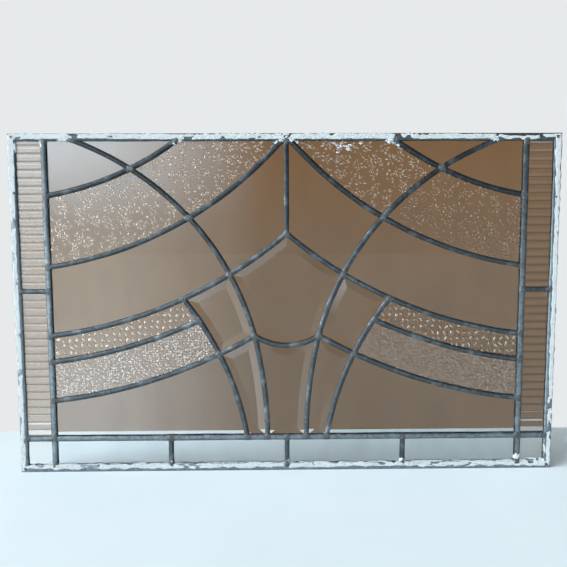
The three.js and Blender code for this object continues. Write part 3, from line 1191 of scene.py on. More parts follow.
@dataclass
class Pane:
    """One pane of glass, between the centre lines round it.

    Fields:
        bloom: How far the raised parts of its pattern are dulled and painted as highlight, as a share of the
            finish's own.
        quad: Which sides make each of the four edges of its patch. An edge with none is a corner.
    """

    name: str
    slot: str
    sides: tuple[Curve, ...]
    inside: Array
    relief: Relief = Drawn()
    bloom: float = 0.0
    quad: tuple[tuple[int, ...], ...] = ((0,), (1,), (2,), (3,))
    fit: GlassFit = GlassFit()

    def edges(self, inset: float) -> list[Curve]:
        """The pane's sides: each centre line moved inwards by the glass's clearance and an inset.

        Args:
            inset: How far inside the pane's own edge.

        Returns:
            The sides, in order.
        """
        outer = (Line(0, -WIDTH / 2), Line(0, WIDTH / 2), Line(1, 0.0), Line(1, HEIGHT))
        return [side.towards(self.inside, inset + (self.fit.border_edge if side in outer else self.fit.edge))
                for side in self.sides]

    def boundary(self, inset: float, counts: tuple[int, int]) -> list[Array]:
        """The four edges of the pane's patch, each from the end of the one before.

        Args:
            inset: How far inside the pane's own edge.
            counts: Steps along the first and third edge, and along the second and fourth.

        Returns:
            One array of points for each edge.
        """
        edges = self.edges(inset)
        corners = [meet(edge, edges[(i + 1) % len(edges)], self.inside) for i, edge in enumerate(edges)]
        result = []
        for k, group in enumerate(self.quad):
            count = counts[k % 2]
            if not group:
                result.append(np.repeat(result[-1][-1:], count + 1, axis=0))
                continue
            runs = [edges[i].between(corners[i - 1], corners[i], count // len(group)) for i in group]
            result.append(np.concatenate([runs[0], *(run[1:] for run in runs[1:])]))
        return result

    def patch(self, inset: float, counts: tuple[int, int]) -> Array:
        """A grid of points over the pane, by Coons' blend of its four edges.

        The point at (u, v) is the blend of the two opposite edges in u, plus that in v, less the blend of
        the four corners.

        Args:
            inset: How far inside the pane's own edge.
            counts: Steps along the first and third edge, and along the second and fourth.

        Returns:
            Points (x, z), rows by columns by 2.
        """
        first, second, third, fourth = self.boundary(inset, counts)
        third, fourth = third[::-1], fourth[::-1]
        u = np.linspace(0, 1, counts[0] + 1)[:, None, None]
        v = np.linspace(0, 1, counts[1] + 1)[None, :, None]
        ruled = (1 - v) * first[:, None] + v * third[:, None]
        crossed = (1 - u) * fourth[None] + u * second[None]
        corners = ((1 - u) * (1 - v) * first[0] + u * (1 - v) * first[-1]
                   + (1 - u) * v * third[0] + u * v * third[-1])
        return ruled + crossed - corners

    def counts(self, spacing: Pair) -> tuple[int, int]:
        """How many steps the patch takes.

        Args:
            spacing: Distances between points along the first edge and along the second.

        Returns:
            Even numbers of steps along those edges.
        """
        measured = self.boundary(0.0, (MEASURING_STEPS, MEASURING_STEPS))
        lengths = [np.hypot(*np.diff(edge, axis=0).T).sum() for edge in measured]
        first, second = (2 * math.ceil(max(lengths[k], lengths[k + 2]) / spacing[k] / 2) for k in (0, 1))
        return first, second

    def shape(self) -> Shape:
        """A closed pane: the worked face, the edge, and the flat back.

        Returns:
            The pane.
        """
        flat = self.patch(0.0, self.counts(self.relief.spacing))
        x, z = flat[..., 0], flat[..., 1]
        face = np.stack([x, self.face_depth(x, z), z], -1)
        rim = face.reshape(-1, 3)[grid_rim(*flat.shape[:2])]
        wear = np.concatenate([self.relief.crest(x, z).ravel(), np.zeros(len(rim))])
        return backed(face, rim * (1, 0, 1) + (0, self.fit.back, 0), wear=wear)

    def face_depth(self, x: Array, z: Array) -> Array:
        """Y of the face. The relief stands up from its lowest level, with its middle in the channel."""
        height = self.relief.height(x, z)
        return self.fit.face + min(self.fit.sunk, float(height.max())) / 2 - height

    def build(self, material: Material) -> None:
        """Makes the pane and puts it in its solid's place.

        Args:
            material: Its finish.
        """
        piece = self.shape().build(f"{self.name}_pane", material, sharp_deg=50.0)
        if () in self.quad:
            weld(piece)
        finish_piece(piece, self.slot, [self.name])


class BevelledPane(Pane):
    """A thick pane, flat on both sides, with its face ground to a slope along every edge."""

    def shape(self) -> Shape:
        """The flat of the face inside the bevel, a loop at the foot of the slope, and the back.

        Returns:
            The pane.
        """
        counts = self.counts((self.fit.bevel_spacing, self.fit.bevel_spacing))
        flat = self.patch(self.fit.bevel_width, counts)
        whole = self.patch(0.0, counts)
        rim = whole.reshape(-1, 2)[grid_rim(*flat.shape[:2])]
        return backed(at_depth(flat, self.fit.bevel_face), at_depth(rim, self.fit.bevel_edge),
                      at_depth(rim, self.fit.back))

    def build(self, material: Material) -> None:
        """Makes the pane with crisp bevel lines."""
        piece = self.shape().build(f"{self.name}_pane", material, sharp_deg=4.0)
        finish_piece(piece, self.slot, [self.name])


def at_depth(plan: Array, y: float) -> Array:
    """Points (x, z) of the panel's plane as (x, y, z), all at one depth."""
    return np.insert(plan, 1, y, axis=-1)


def weld(piece: Object, gap: float = 1e-6) -> None:
    """Merges a mesh's doubled points, which closes its corner pole.

    Args:
        piece: The piece.
        gap: How close, in metres, two points have to be.
    """
    work = bmesh.new()
    work.from_mesh(piece.data)
    bmesh.ops.remove_doubles(work, verts=work.verts, dist=gap)
    work.to_mesh(piece.data)
    work.free()


@dataclass
class Glazing:
    """All of the panel's glass."""

    drawing: Drawing
    reed_pitch: float = 9.3

    def field_panes(self, half: Half) -> Iterable[Pane]:
        """The panes of one half that the pattern's lines bound.

        Args:
            half: Which half.

        Returns:
            The panes, one by one.
        """
        floral = Floral()
        left = half.side is Side.LEFT

        def pane(kind: str, slot: str, sides: str, inside: Pair, relief: Relief = Drawn(),
                 cls: type[Pane] = Pane, **extra: object) -> Pane:
            """A pane by the names of its sides, with a point inside it given for the left half."""
            name = f"glass_{kind}_{half.side.word}"
            return cls(name, slot, half.lines(sides), half.at(*inside), relief, **extra)

        yield pane("clear_corner", "clear_glass", "upright top arch upper", (-262, 376))
        yield pane("clear_wedge", "clear_glass", "top upper arch", (-184, 390), quad=((0,), (1,), (2,), ()))
        # The left half's panes take more painted highlight than the right's, as the light falls from the
        # left.
        yield pane("floral_outer", "floral_glass", "upright upper arch second", (-205, 320), floral,
                   bloom=1.2 if left else 0.4)
        yield pane("floral_inner", "floral_glass", "upper top second arch", (-108, 360), floral,
                   bloom=0.95 if left else 0.65)
        yield pane("clear_band", "clear_glass", "upright second arch third", (-170, 235))
        yield pane("clear_kite", "clear_glass", "centre third arch second", (-40, 315))
        yield pane("hammered", "hammered_glass", "upright third fan fourth", (-200, 170), Hammered(),
                   bloom=1.0 if left else 0.6)
        yield pane("stippled", "stippled_glass", "upright fourth fan lowest", (-190, 130), Stippled(),
                   bloom=1.85 if left else 0.7)
        yield pane("clear_foot", "clear_glass", "upright lowest fan rail", (-170, 75))
        yield pane("clear_base_corner", "clear_glass", "edge rail upright bottom", (-304, 20))
        yield pane("bevelled_shoulder", "bevelled_glass", "third arch lowest fan", (-80, 190),
                   cls=BevelledPane)
        yield pane("bevelled_stem", "bevelled_glass", "lowest leg rail fan", (-48, 110), cls=BevelledPane)

    def side_strips(self, half: Half) -> Iterable[Pane]:
        """The two reeded panes of one side strip, their reeds level.

        Args:
            half: Which half.

        Returns:
            The panes, one by one.
        """
        fit = GlassFit()
        bar, rail = self.drawing.side_bar.at, self.drawing.rail.at
        for word, low, high in (("upper", bar + fit.edge, HEIGHT - fit.border_edge),
                                ("lower", rail + fit.edge, bar - fit.edge)):
            names = "edge side_bar upright top" if word == "upper" else "edge rail upright side_bar"
            # The left strip's reeds take more painted highlight than the right's, as the light falls from the
            # left.
            yield Pane(f"glass_reeded_side_{word}_{half.side.word}", "reeded_glass", half.lines(names),
                       half.at(-304, (low + high) / 2), Reeded(1, low, self.whole_pitch(high - low)),
                       bloom=1.2 if half.side is Side.LEFT else 0.1)

    def base_strips(self) -> Iterable[Pane]:
        """The four reeded panes of the base strip, their reeds upright.

        Returns:
            The panes, one by one.
        """
        fit = GlassFit()
        posts = [-self.drawing.upright_x, -self.drawing.divider_x, 0.0, self.drawing.divider_x,
                 self.drawing.upright_x]
        for number, (left, right) in enumerate(zip(posts, posts[1:]), start=1):
            low, high = left + fit.edge, right - fit.edge
            sides = (Line(0, left), self.drawing.bottom, Line(0, right), self.drawing.rail)
            yield Pane(f"glass_reeded_base_{number}", "reeded_glass", sides,
                       np.array([(left + right) / 2, 20.0]), Reeded(0, low, self.whole_pitch(high - low)))

    def whole_pitch(self, width: float) -> float:
        """The reeds' pitch, stretched a little so that a whole number of them fills a pane."""
        return width / round(width / self.reed_pitch)

    def centre_panes(self) -> Iterable[Pane]:
        """The bevelled heart and vase on the centre line.

        Returns:
            The panes, one by one.
        """
        left, right = (Half(self.drawing, side) for side in Side)
        heart = (left.line("third"), right.line("third"), right.line("arch"), self.drawing.swag,
                 left.line("arch"))
        yield BevelledPane("glass_bevelled_heart", "bevelled_glass", heart, np.array([0.0, 215.0]),
                           quad=((0, 1), (2,), (3,), (4,)))
        vase = (self.drawing.swag, right.line("leg"), self.drawing.rail, left.line("leg"))
        yield BevelledPane("glass_bevelled_vase", "bevelled_glass", vase, np.array([0.0, 95.0]))

    def build(self) -> None:
        """Makes every pane, with a finish for each kind of glass and how far its dulling and painted
        highlight go.
        """
        finishes = {
            "clear_glass": GlassFinish(),
            "bevelled_glass": GlassFinish(),
            "reeded_glass": GlassFinish(tint=(0.92, 0.975, 1.0), film=(0.83, 0.88, 0.92),
                                        bloom=(0.84, 0.79, 0.72), dulled=0.16, frosted=0.08,
                                        roughness=(0.02, 0.06)),
            "floral_glass": GlassFinish(dulled=0.42, roughness=(0.02, 0.06)),
            "hammered_glass": GlassFinish(bloom=(0.85, 0.77, 0.66), dulled=0.40, frosted=0.12,
                                          roughness=(0.02, 0.06)),
            "stippled_glass": GlassFinish(bloom=(0.86, 0.86, 0.86), dulled=0.34, settled=(0.60, 0.58, 0.56),
                                          frosted=0.12, roughness=(0.03, 0.08)),
        }
        materials: dict[str, Material] = {}
        panes = [*self.centre_panes(), *self.base_strips()]
        for side in Side:
            half = Half(self.drawing, side)
            panes += [*self.field_panes(half), *self.side_strips(half)]
        for pane in panes:
            finish = finishes[pane.slot]
            name = f"{pane.slot}_{round(100 * pane.bloom)}" if pane.bloom else pane.slot
            if name not in materials:
                materials[name] = replace(finish, dulled=finish.dulled * pane.bloom).material(name)
            pane.build(materials[name])


# ---------------------------------------------------------------- lead


@dataclass(frozen=True)
class CameSection:
    """The H section of a came: two rounded leaves joined by a heart.

    Fields:
        half: From the centre line to a leaf's edge.
        channel: Half the gap between the leaves.
        rub: How bright the crown is painted, for rubbing and for the light it catches, from 0 to 1.
    """

    half: float = 3.0
    edge: float = 2.45
    crown: float = 3.4
    channel: float = 2.0
    heart: float = 0.75
    rub: float = 0.35

    def leaf(self, steps: int = 10) -> Array:
        """The rounded face of a leaf as (across, depth). The depth rises as sin(a)^1.5, at the angle a.

        Args:
            steps: Steps from edge to edge.

        Returns:
            The points.
        """
        angle = np.linspace(0, math.pi, steps + 1)
        across = self.half * np.cos(angle)
        depth = self.edge + (self.crown - self.edge) * np.abs(np.sin(angle)) ** 1.5
        return np.column_stack([across, depth])

    def outline(self) -> tuple[Array, Array]:
        """The closed section as (across, depth), anticlockwise, and how far each of its points is painted
        lighter for rubbing and light.

        Returns:
            The points, and the rubbing and painted light at each.
        """
        channel = np.array([[-self.half, self.channel], [-self.heart, self.channel]])
        leaf = self.leaf()
        quarter = np.concatenate([leaf, channel])
        points = np.concatenate([quarter, -quarter])
        rubbed = self.rub * np.clip((np.abs(points[:, 1]) - self.edge) / (self.crown - self.edge), 0, 1)
        return points, rubbed


@dataclass(frozen=True)
class BorderSection(CameSection):
    """The border came's section: flat leaves, closed by a wall on the outside, across measured inwards.

    Fields:
        half: Its whole width.
        chamfer: Size of the rounded inner edge.
        rounded: How far in from the inner edge, and how far under the crown, the middle of that edge is.
    """

    half: float = 8.5
    crown: float = 3.6
    wall: float = 1.5
    outer_chamfer: float = 0.3
    chamfer: float = 0.7
    rounded: Pair = (0.2, 0.35)
    # The whole border is painted lighter: partly rubbing, partly painted light for the light it catches.
    rub: float = 1.0

    def outline(self) -> tuple[Array, Array]:
        """The closed section from the wall round the back leaf, the channel and the face leaf.

        Returns:
            The points, and the rubbing and painted light at each.
        """
        leaf = np.array([[0, self.crown - self.outer_chamfer], [self.outer_chamfer, self.crown],
                         [self.half - self.chamfer, self.crown],
                         [self.half - self.rounded[0], self.crown - self.rounded[1]],
                         [self.half, self.crown - self.chamfer],
                         [self.half, self.channel], [self.wall, self.channel]])
        back = leaf * (1, -1)
        points = np.concatenate([leaf[::-1], back])
        return points, np.full(len(points), self.rub)


def distances(path: Array) -> Array:
    """The way along a polyline to each of its points."""
    return np.concatenate([[0], np.cumsum(np.hypot(*np.diff(path, axis=0).T))])


def resample(path: Array, spacing: float) -> Array:
    """Points along a polyline at an even spacing.

    Args:
        path: The polyline's points.
        spacing: The greatest distance between the new ones.

    Returns:
        The new points.
    """
    along = distances(path)
    wanted = np.linspace(0, along[-1], max(2, math.ceil(along[-1] / spacing)) + 1)
    return np.column_stack([np.interp(wanted, along, path[:, k]) for k in (0, 1)])


def shorten(path: Array, start: float, end: float, spacing: float = 0.25) -> Array:
    """A polyline with a length cut off each end.

    Args:
        path: The polyline's points.
        start: The length cut off its start.
        end: The length cut off its end.
        spacing: Distance between the points it is given.

    Returns:
        What is left of it.
    """
    fine = resample(path, spacing)
    along = distances(fine)
    return fine[(along >= start) & (along <= along[-1] - end)]


@dataclass(frozen=True)
class Softness:
    """How uneven a length of soft lead is.

    Each wave is the length that its own unevenness takes.

    Fields:
        step: Distance between the sections that it is made of.
        sway: How far it strays sideways, less within taper of its ends.
        swell: How much its width varies, as a share.
        dent: How far a leaf's face rises and falls.
        dent_squeeze: How many times shorter a dent is through the section than along it.
    """

    step: float = 2.6
    sway: float = 0.16
    sway_wave: float = 27.0
    taper: float = 12.0
    swell: float = 0.035
    swell_wave: float = 14.0
    dent: float = 0.09
    dent_wave: float = 5.0
    dent_squeeze: float = 3.0


def sweep(path: Array, section: CameSection, seed: int, soft: Softness = Softness()) -> Shape:
    """Carries a section along a path in the panel's plane, with the unevenness of soft lead.

    Args:
        path: Points (x, z) along the centre line.
        section: The section to carry.
        seed: Which unevenness.
        soft: How uneven.

    Returns:
        A closed body. Its point at (s, k) is the path's point at s, plus the section's across times the
        normal there, with the section's depth along Y.
    """
    points = resample(path, soft.step)
    tangent = np.gradient(points, axis=0)
    tangent /= np.hypot(*tangent.T)[:, None]
    normal = np.column_stack([-tangent[:, 1], tangent[:, 0]])
    along = np.arange(len(points)) * soft.step
    level = np.zeros_like(along)
    taper = np.clip(np.minimum(along, along[-1] - along) / soft.taper, 0, 1)
    stray = soft.sway * taper * value_noise(along, level, soft.sway_wave, seed)
    points = points + normal * stray[:, None]
    outline, rubbed = section.outline()
    across, depth = outline[None, :, 0], outline[None, :, 1]
    dents = value_noise(along[:, None] + across, depth * soft.dent_squeeze, soft.dent_wave, seed + 2)
    leaves = np.abs(depth) > section.channel + 0.1
    depth = depth + np.sign(depth) * soft.dent * dents * leaves
    swollen = 1 + soft.swell * value_noise(along, level, soft.swell_wave, seed + 1)
    ring = points[:, None] + normal[:, None] * (across * swollen[:, None])[..., None]
    body = np.stack([ring[..., 0], depth, ring[..., 1]], -1)
    return tube(body, np.broadcast_to(rubbed, depth.shape).ravel())


@dataclass
class LaidLead:
    """Where the lead lies in the panel, so that solder and paint can be laid over it.

    Fields:
        glass: Height of the glass's face over the middle plane.
        spacing: Distance between the points that a came is noted at.
        runs: Centre line points of the cames, each with half the came's width.
    """

    section: CameSection = CameSection()
    border: BorderSection = BorderSection()
    glass: float = 1.6
    spacing: float = 0.5
    runs: list[Array] = field(default_factory=list)

    def add(self, path: Array, half: float) -> None:
        """Notes a came by its centre line and half its width."""
        points = resample(path, self.spacing)
        self.runs.append(np.column_stack([points, np.full(len(points), half)]))

    def depth(self, x: Array, z: Array) -> Array:
        """Height over the middle plane of the panel's face at each place.

        A leaf stands edge + rise (1 - g^2)^0.75 high at the distance g from its came's centre line, in half
        widths, and the highest leaf counts. The border's leaf is flat.

        Args:
            x: Across, to each place.
            z: Up, to each place.

        Returns:
            The heights.
        """
        points = np.concatenate(self.runs)
        low, high = (np.array([pick(x), pick(z)]) for pick in (np.min, np.max))
        reach = 5.0
        near = points[np.all((points[:, :2] > low - reach) & (points[:, :2] < high + reach), axis=1)]
        gap = np.hypot(x[..., None] - near[:, 0], z[..., None] - near[:, 1]) / near[:, 2]
        gap = gap.min(axis=-1, initial=2.0)
        rise = self.section.crown - self.section.edge
        leaf = self.section.edge + rise * np.clip(1 - gap**2, 0, 1) ** 0.75
        inwards = np.minimum(np.minimum(z, HEIGHT - z), WIDTH / 2 - np.abs(x))
        leaf = np.where(gap < 1, leaf, self.glass)
        return np.where((inwards > 0) & (inwards < self.border.half), self.border.crown, leaf)


@dataclass
class Leading:
    """All of the panel's lead cames.

    Fields:
        main: Section of the uprights and the base rail.
        overlap: How far a came's end runs under the leaf that it butts against.
        squash: How much of what stands over the border's inner edge is pressed down, as a share.
    """

    drawing: Drawing
    pattern: CameSection = CameSection()
    # The uprights' and rail's crowns are painted fully lighter: partly rubbing, partly painted light off the
    # floor.
    main: CameSection = CameSection(half=3.5, rub=1.0)
    border: BorderSection = BorderSection()
    overlap: float = 0.9
    steps: int = 64
    squash: float = 0.97
    laid: LaidLead = field(default_factory=LaidLead)

    def came(self, path: Array, section: CameSection, name: str) -> Shape:
        """A came along a path, noted as laid. Its name settles its unevenness."""
        self.laid.add(path, section.half)
        return sweep(path, section, hash_name(name))

    def bar(self, start: Array, end: Array, trims: Pair, section: CameSection) -> Shape:
        """A straight came between two joints, cut short by the half widths of what it butts against."""
        path = shorten(np.stack([start, end]), *(trim - self.overlap for trim in trims))
        return self.came(path, section, f"{start}{end}")

    def stretch(self, curve: Curve, start: Array, end: Array, trims: Pair) -> Array:
        """Points along a centre line between two joints, cut short in the same way."""
        path = curve.between(start, end, self.steps)
        return shorten(path, *(max(0.0, trim - self.overlap) for trim in trims))

    def strip(self, half: Half, along: str, start: str, end: str) -> Shape:
        """A pattern came along one of a half's lines, between its meetings with two others.

        Args:
            half: Which half.
            along: The name of its line.
            start: The name of the line that it starts at.
            end: The name of the line that it ends at.

        Returns:
            The came.
        """
        widths = {"top": self.border.half, "upright": self.main.half, "rail": self.main.half}
        trims = tuple(widths.get(name, self.pattern.half) for name in (start, end))
        path = self.stretch(half.line(along), half.meet(along, start), half.meet(along, end), trims)
        return self.came(path, self.pattern, f"{along}{start}{half.side.word}")

    def arch(self, half: Half) -> Shape:
        """The arch and the leg that it runs into at the knee.

        Args:
            half: Which half.

        Returns:
            The came.
        """
        knee = half.meet("arch", "lowest")
        upper = half.line("arch").between(half.meet("arch", "top"), knee, self.steps)
        lower = half.line("leg").between(knee, half.meet("leg", "rail"), self.steps // 2)
        path = shorten(np.concatenate([upper, lower[1:]]), 0.0, self.main.half - self.overlap)
        inside = path[:, 1] < HEIGHT - self.border.half + self.overlap
        return self.came(path[inside], self.pattern, f"arch{half.side.word}")

    def below_top(self, shape: Shape) -> Shape:
        """Squashes a shape's points above the border's inner edge, where a came meets the top at a slant.

        Args:
            shape: The came.

        Returns:
            The same came.
        """
        above = shape.points[:, 2] - (HEIGHT - self.border.half + self.overlap)
        shape.points[:, 2] -= self.squash * np.maximum(above, 0.0)
        return shape

    def half_pieces(self, half: Half) -> dict[str, Shape]:
        """The cames of one half, by the name of the solid that each stands for.

        Args:
            half: Which half.

        Returns:
            The cames by those names.
        """
        word = half.side.word
        post, rail, side_bar = -self.drawing.upright_x, self.drawing.rail_z, self.drawing.side_bar.at
        fan = self.strip(half, "third", "upright", "arch")
        for line, start, end in (("fourth", "upright", "fan"), ("lowest", "upright", "arch"),
                                 ("fan", "third", "rail")):
            fan.join(self.strip(half, line, start, end))
        inner = self.strip(half, "upper", "arch", "top")
        strip_trims = (self.border.half, self.main.half)
        return {
            f"came_arch_{word}": self.below_top(self.arch(half)),
            f"came_fan_{word}": fan,
            f"came_second_sweep_outer_{word}": self.strip(half, "second", "upright", "arch"),
            f"came_upper_sweep_outer_{word}": self.strip(half, "upper", "upright", "arch"),
            f"came_upper_sweep_inner_{word}": self.below_top(inner),
            f"came_upright_{word}": self.bar(
                half.at(post, 0), half.at(post, HEIGHT), (self.border.half, self.border.half), self.main),
            f"came_base_rail_{word}": self.bar(
                half.at(-WIDTH / 2, rail), half.at(post, rail), strip_trims, self.main),
            f"came_side_bar_{word}": self.bar(
                half.at(-WIDTH / 2, side_bar), half.at(post, side_bar), strip_trims, self.pattern),
        }

    def shared_pieces(self) -> dict[str, Shape]:
        """The cames on the centre line and along the base.

        Returns:
            The cames by their solids' names.
        """
        left, right = (Half(self.drawing, side) for side in Side)
        post, divider, rail = self.drawing.upright_x, self.drawing.divider_x, self.drawing.rail_z
        peak = left.meet("third", "centre")
        crown = self.bar(peak, np.array([0, HEIGHT]), (self.overlap, self.border.half), self.pattern)
        for half in (left, right):
            crown.join(self.below_top(self.strip(half, "second", "arch", "centre")))
            crown.join(self.strip(half, "third", "arch", "centre"))
        knee = self.drawing.knee
        swag = self.stretch(self.drawing.swag, knee, knee * (-1, 1), (self.pattern.half, self.pattern.half))
        pieces = {
            "came_crown": crown,
            "came_swag": self.came(swag, self.pattern, "swag"),
            "came_base_rail_middle": self.bar(
                np.array([-post, rail]), np.array([post, rail]), (self.main.half, self.main.half), self.main),
        }
        for word, x in (("left", -divider), ("middle", 0.0), ("right", divider)):
            pieces[f"came_base_divider_{word}"] = self.bar(
                np.array([x, 0.0]), np.array([x, rail]), (self.border.half, self.main.half), self.pattern)
        return pieces

    def border_pieces(self) -> dict[str, Shape]:
        """The four border cames. The top and bottom run the panel's full width.

        Returns:
            The cames by their solids' names.
        """
        half, inner = WIDTH / 2, self.border.half - self.overlap
        paths = {
            "bottom": [(-half, 0), (half, 0)],
            "right": [(half, inner), (half, HEIGHT - inner)],
            "top": [(half, HEIGHT), (-half, HEIGHT)],
            "left": [(-half, HEIGHT - inner), (-half, inner)],
        }
        straight = Softness(sway=0.0, dent=0.06)
        return {f"came_border_{word}": sweep(np.array(ends, float), self.border, hash_name(word), straight)
                for word, ends in paths.items()}

    def build(self) -> None:
        """Makes every came in place of its solid."""
        material = LeadFinish().material("lead_came")
        pieces = self.border_pieces() | self.shared_pieces()
        for side in Side:
            pieces |= self.half_pieces(Half(self.drawing, side))
        for name, shape in pieces.items():
            finish_piece(shape.build(f"{name}_lead", material, sharp_deg=55.0), "lead_came", [name])


def hash_name(text: str) -> int:
    """A steady number from a text, the same on every run."""
    return sum((i + 1) * ord(letter) for i, letter in enumerate(text)) % 9973


# ---------------------------------------------------------------- solder and old paint

# The innermost ring of a lump, as a share of the way out.
INNERMOST = 0.1

# A lump on the lead looks for the leaves' edge from this far out, in this many steps. What stands higher than
# the level is leaf, and the lump spills a little past its edge.
OUTLINE_FROM, OUTLINE_STEPS = 2.0, 25
LEAF_LEVEL = 2.4
SPILL = 0.2

# The range of four layers of noise, nearly.
NOISE_SPAN = 1.6


@dataclass(frozen=True)
class Daub:
    """A rounded lump that lies over the lead, of solder or of paint.

    Fields:
        reach: How far it spreads across and up.
        rise: How far it stands over the lead in its middle.
        full: How full its dome is: the power of the distance that its height falls by.
        on_lead: True if it spreads only as far as the leaves of the lead do.
        ragged: How uneven its outline is, as a share of its reach.
        lumpy: How high its own lumps are, as a share of its rise.
        tucked: How far under the lead it goes where the lead is higher.
    """

    x: float
    z: float
    reach: Pair
    rise: float
    full: float = 3.0
    on_lead: bool = False
    ragged: float = 0.12
    lumpy: float = 4 / 15
    lump_size: float = 2.2
    tucked: float = 0.15

    def shape(self, laid: LaidLead, side: float, seed: int, spokes: int = 32, rings: int = 8,
              foot: float = 2.1) -> Shape:
        """The lump as rings of points round its middle.

        A ring at the share r of the way out stands at top - (top - foot) r^full, or just under the lead where
        the lead is higher.

        Args:
            laid: The lead under it.
            side: -1 for the panel's face, 1 for its back.
            seed: Which unevenness.
            spokes: Points in a ring.
            rings: Number of rings.
            foot: Height of the outline over the middle plane.

        Returns:
            The lump as a closed body.
        """
        angle = np.linspace(0, 2 * math.pi, spokes, endpoint=False)
        way = np.column_stack([np.cos(angle), np.sin(angle)])
        out = self.outline(laid, way, 1 + self.ragged * value_noise(3 * way[:, 0], 3 * way[:, 1], 1.0, seed))
        share = np.linspace(INNERMOST, 1.0, rings)[:, None]
        x, z = self.x + share * out * way[:, 0], self.z + share * out * way[:, 1]
        under = laid.depth(x, z)
        top = float(laid.depth(np.array([self.x]), np.array([self.z]))[0]) + self.rise
        height = np.maximum(top - (top - foot) * share**self.full, under - self.tucked)
        lumps = layered_noise(x, z, self.lump_size, seed + 1, 2)
        height += self.lumpy * self.rise * lumps * (1 - share**4)
        height[-1] = foot
        return tube(np.stack([x, side * height, z], -1))

    def outline(self, laid: LaidLead, way: Array, uneven: Array) -> Array:
        """How far the lump spreads: its uneven reach, or to the edge of the leaves if that is nearer.

        Args:
            laid: The lead under it.
            way: Each way out, as (across, up) of length 1.
            uneven: The share of its reach that it spreads each way.

        Returns:
            The spread each way.
        """
        reach = uneven / np.hypot(way[:, 0] / self.reach[0], way[:, 1] / self.reach[1])
        if not self.on_lead:
            return reach
        steps = np.linspace(OUTLINE_FROM, max(self.reach), OUTLINE_STEPS)[:, None]
        covered = laid.depth(self.x + steps * way[:, 0], self.z + steps * way[:, 1]) > LEAF_LEVEL
        ends = np.where(covered.all(axis=0), steps[-1], steps[np.argmin(covered, axis=0), 0])
        smoothed = (np.roll(ends, 1) + 2 * ends + np.roll(ends, -1)) / 4
        return np.minimum(reach, np.minimum(ends, smoothed) + SPILL)


@dataclass
class Soldering:
    """The soldered joints of the cames, on the face and on the back.

    Fields:
        inner: How far in from the panel's edge the joints at the border are.
        wobble: How much a joint's size and shape vary, as a share.
        turn: How far the variation runs on from one joint to the next, in radians.
    """

    drawing: Drawing
    laid: LaidLead
    finish: SolderFinish = SolderFinish()
    inner: float = 8.0
    reach: float = 6.4
    rise: float = 0.45
    wobble: float = 0.12
    turn: float = 5.1

    def joints(self) -> Iterable[Array]:
        """Every place where cames meet, with those at the border put on its inner edge.

        Returns:
            The places, one by one.
        """
        d = self.drawing
        edge, top = WIDTH / 2, HEIGHT - self.inner
        at_border = ((-d.upright_x, self.inner), (-d.upright_x, top), (-252.0, top), (-128.0, top),
                     (self.inner - edge, d.rail_z), (self.inner - edge, d.side_bar.at),
                     (self.inner / 2 - edge, self.inner / 2),
                     (self.inner / 2 - edge, HEIGHT - self.inner / 2))
        for side in Side:
            half = Half(d, side)
            for first, second in MEETINGS:
                if second not in ("top", "centre"):
                    yield half.meet(first, second)
            for x, z in at_border:
                yield half.at(x, z)
        yield meet(d.sweep(2), d.centre, np.array(MEETINGS["third", "centre"]))
        yield np.array([0.0, top])
        for x in (-d.divider_x, 0.0, d.divider_x):
            yield np.array([x, self.inner])
            yield np.array([x, d.rail_z])

    def build(self) -> None:
        """Makes one piece of the joints on the face and one of those on the back."""
        material = self.finish.material("solder")
        for word, side in (("face", -1.0), ("back", 1.0)):
            shape = Shape()
            for number, (x, z) in enumerate(self.joints()):
                wobble = 1 + self.wobble * math.sin(self.turn * number + side)
                spread = (self.reach * wobble, self.reach / wobble)
                daub = Daub(x, z, spread, self.rise * wobble, on_lead=True)
                shape.join(daub.shape(self.laid, side, seed=700 + 2 * number + (side > 0)))
            finish_piece(shape.build(f"solder_joints_{word}", material, sharp_deg=70.0), "solder")


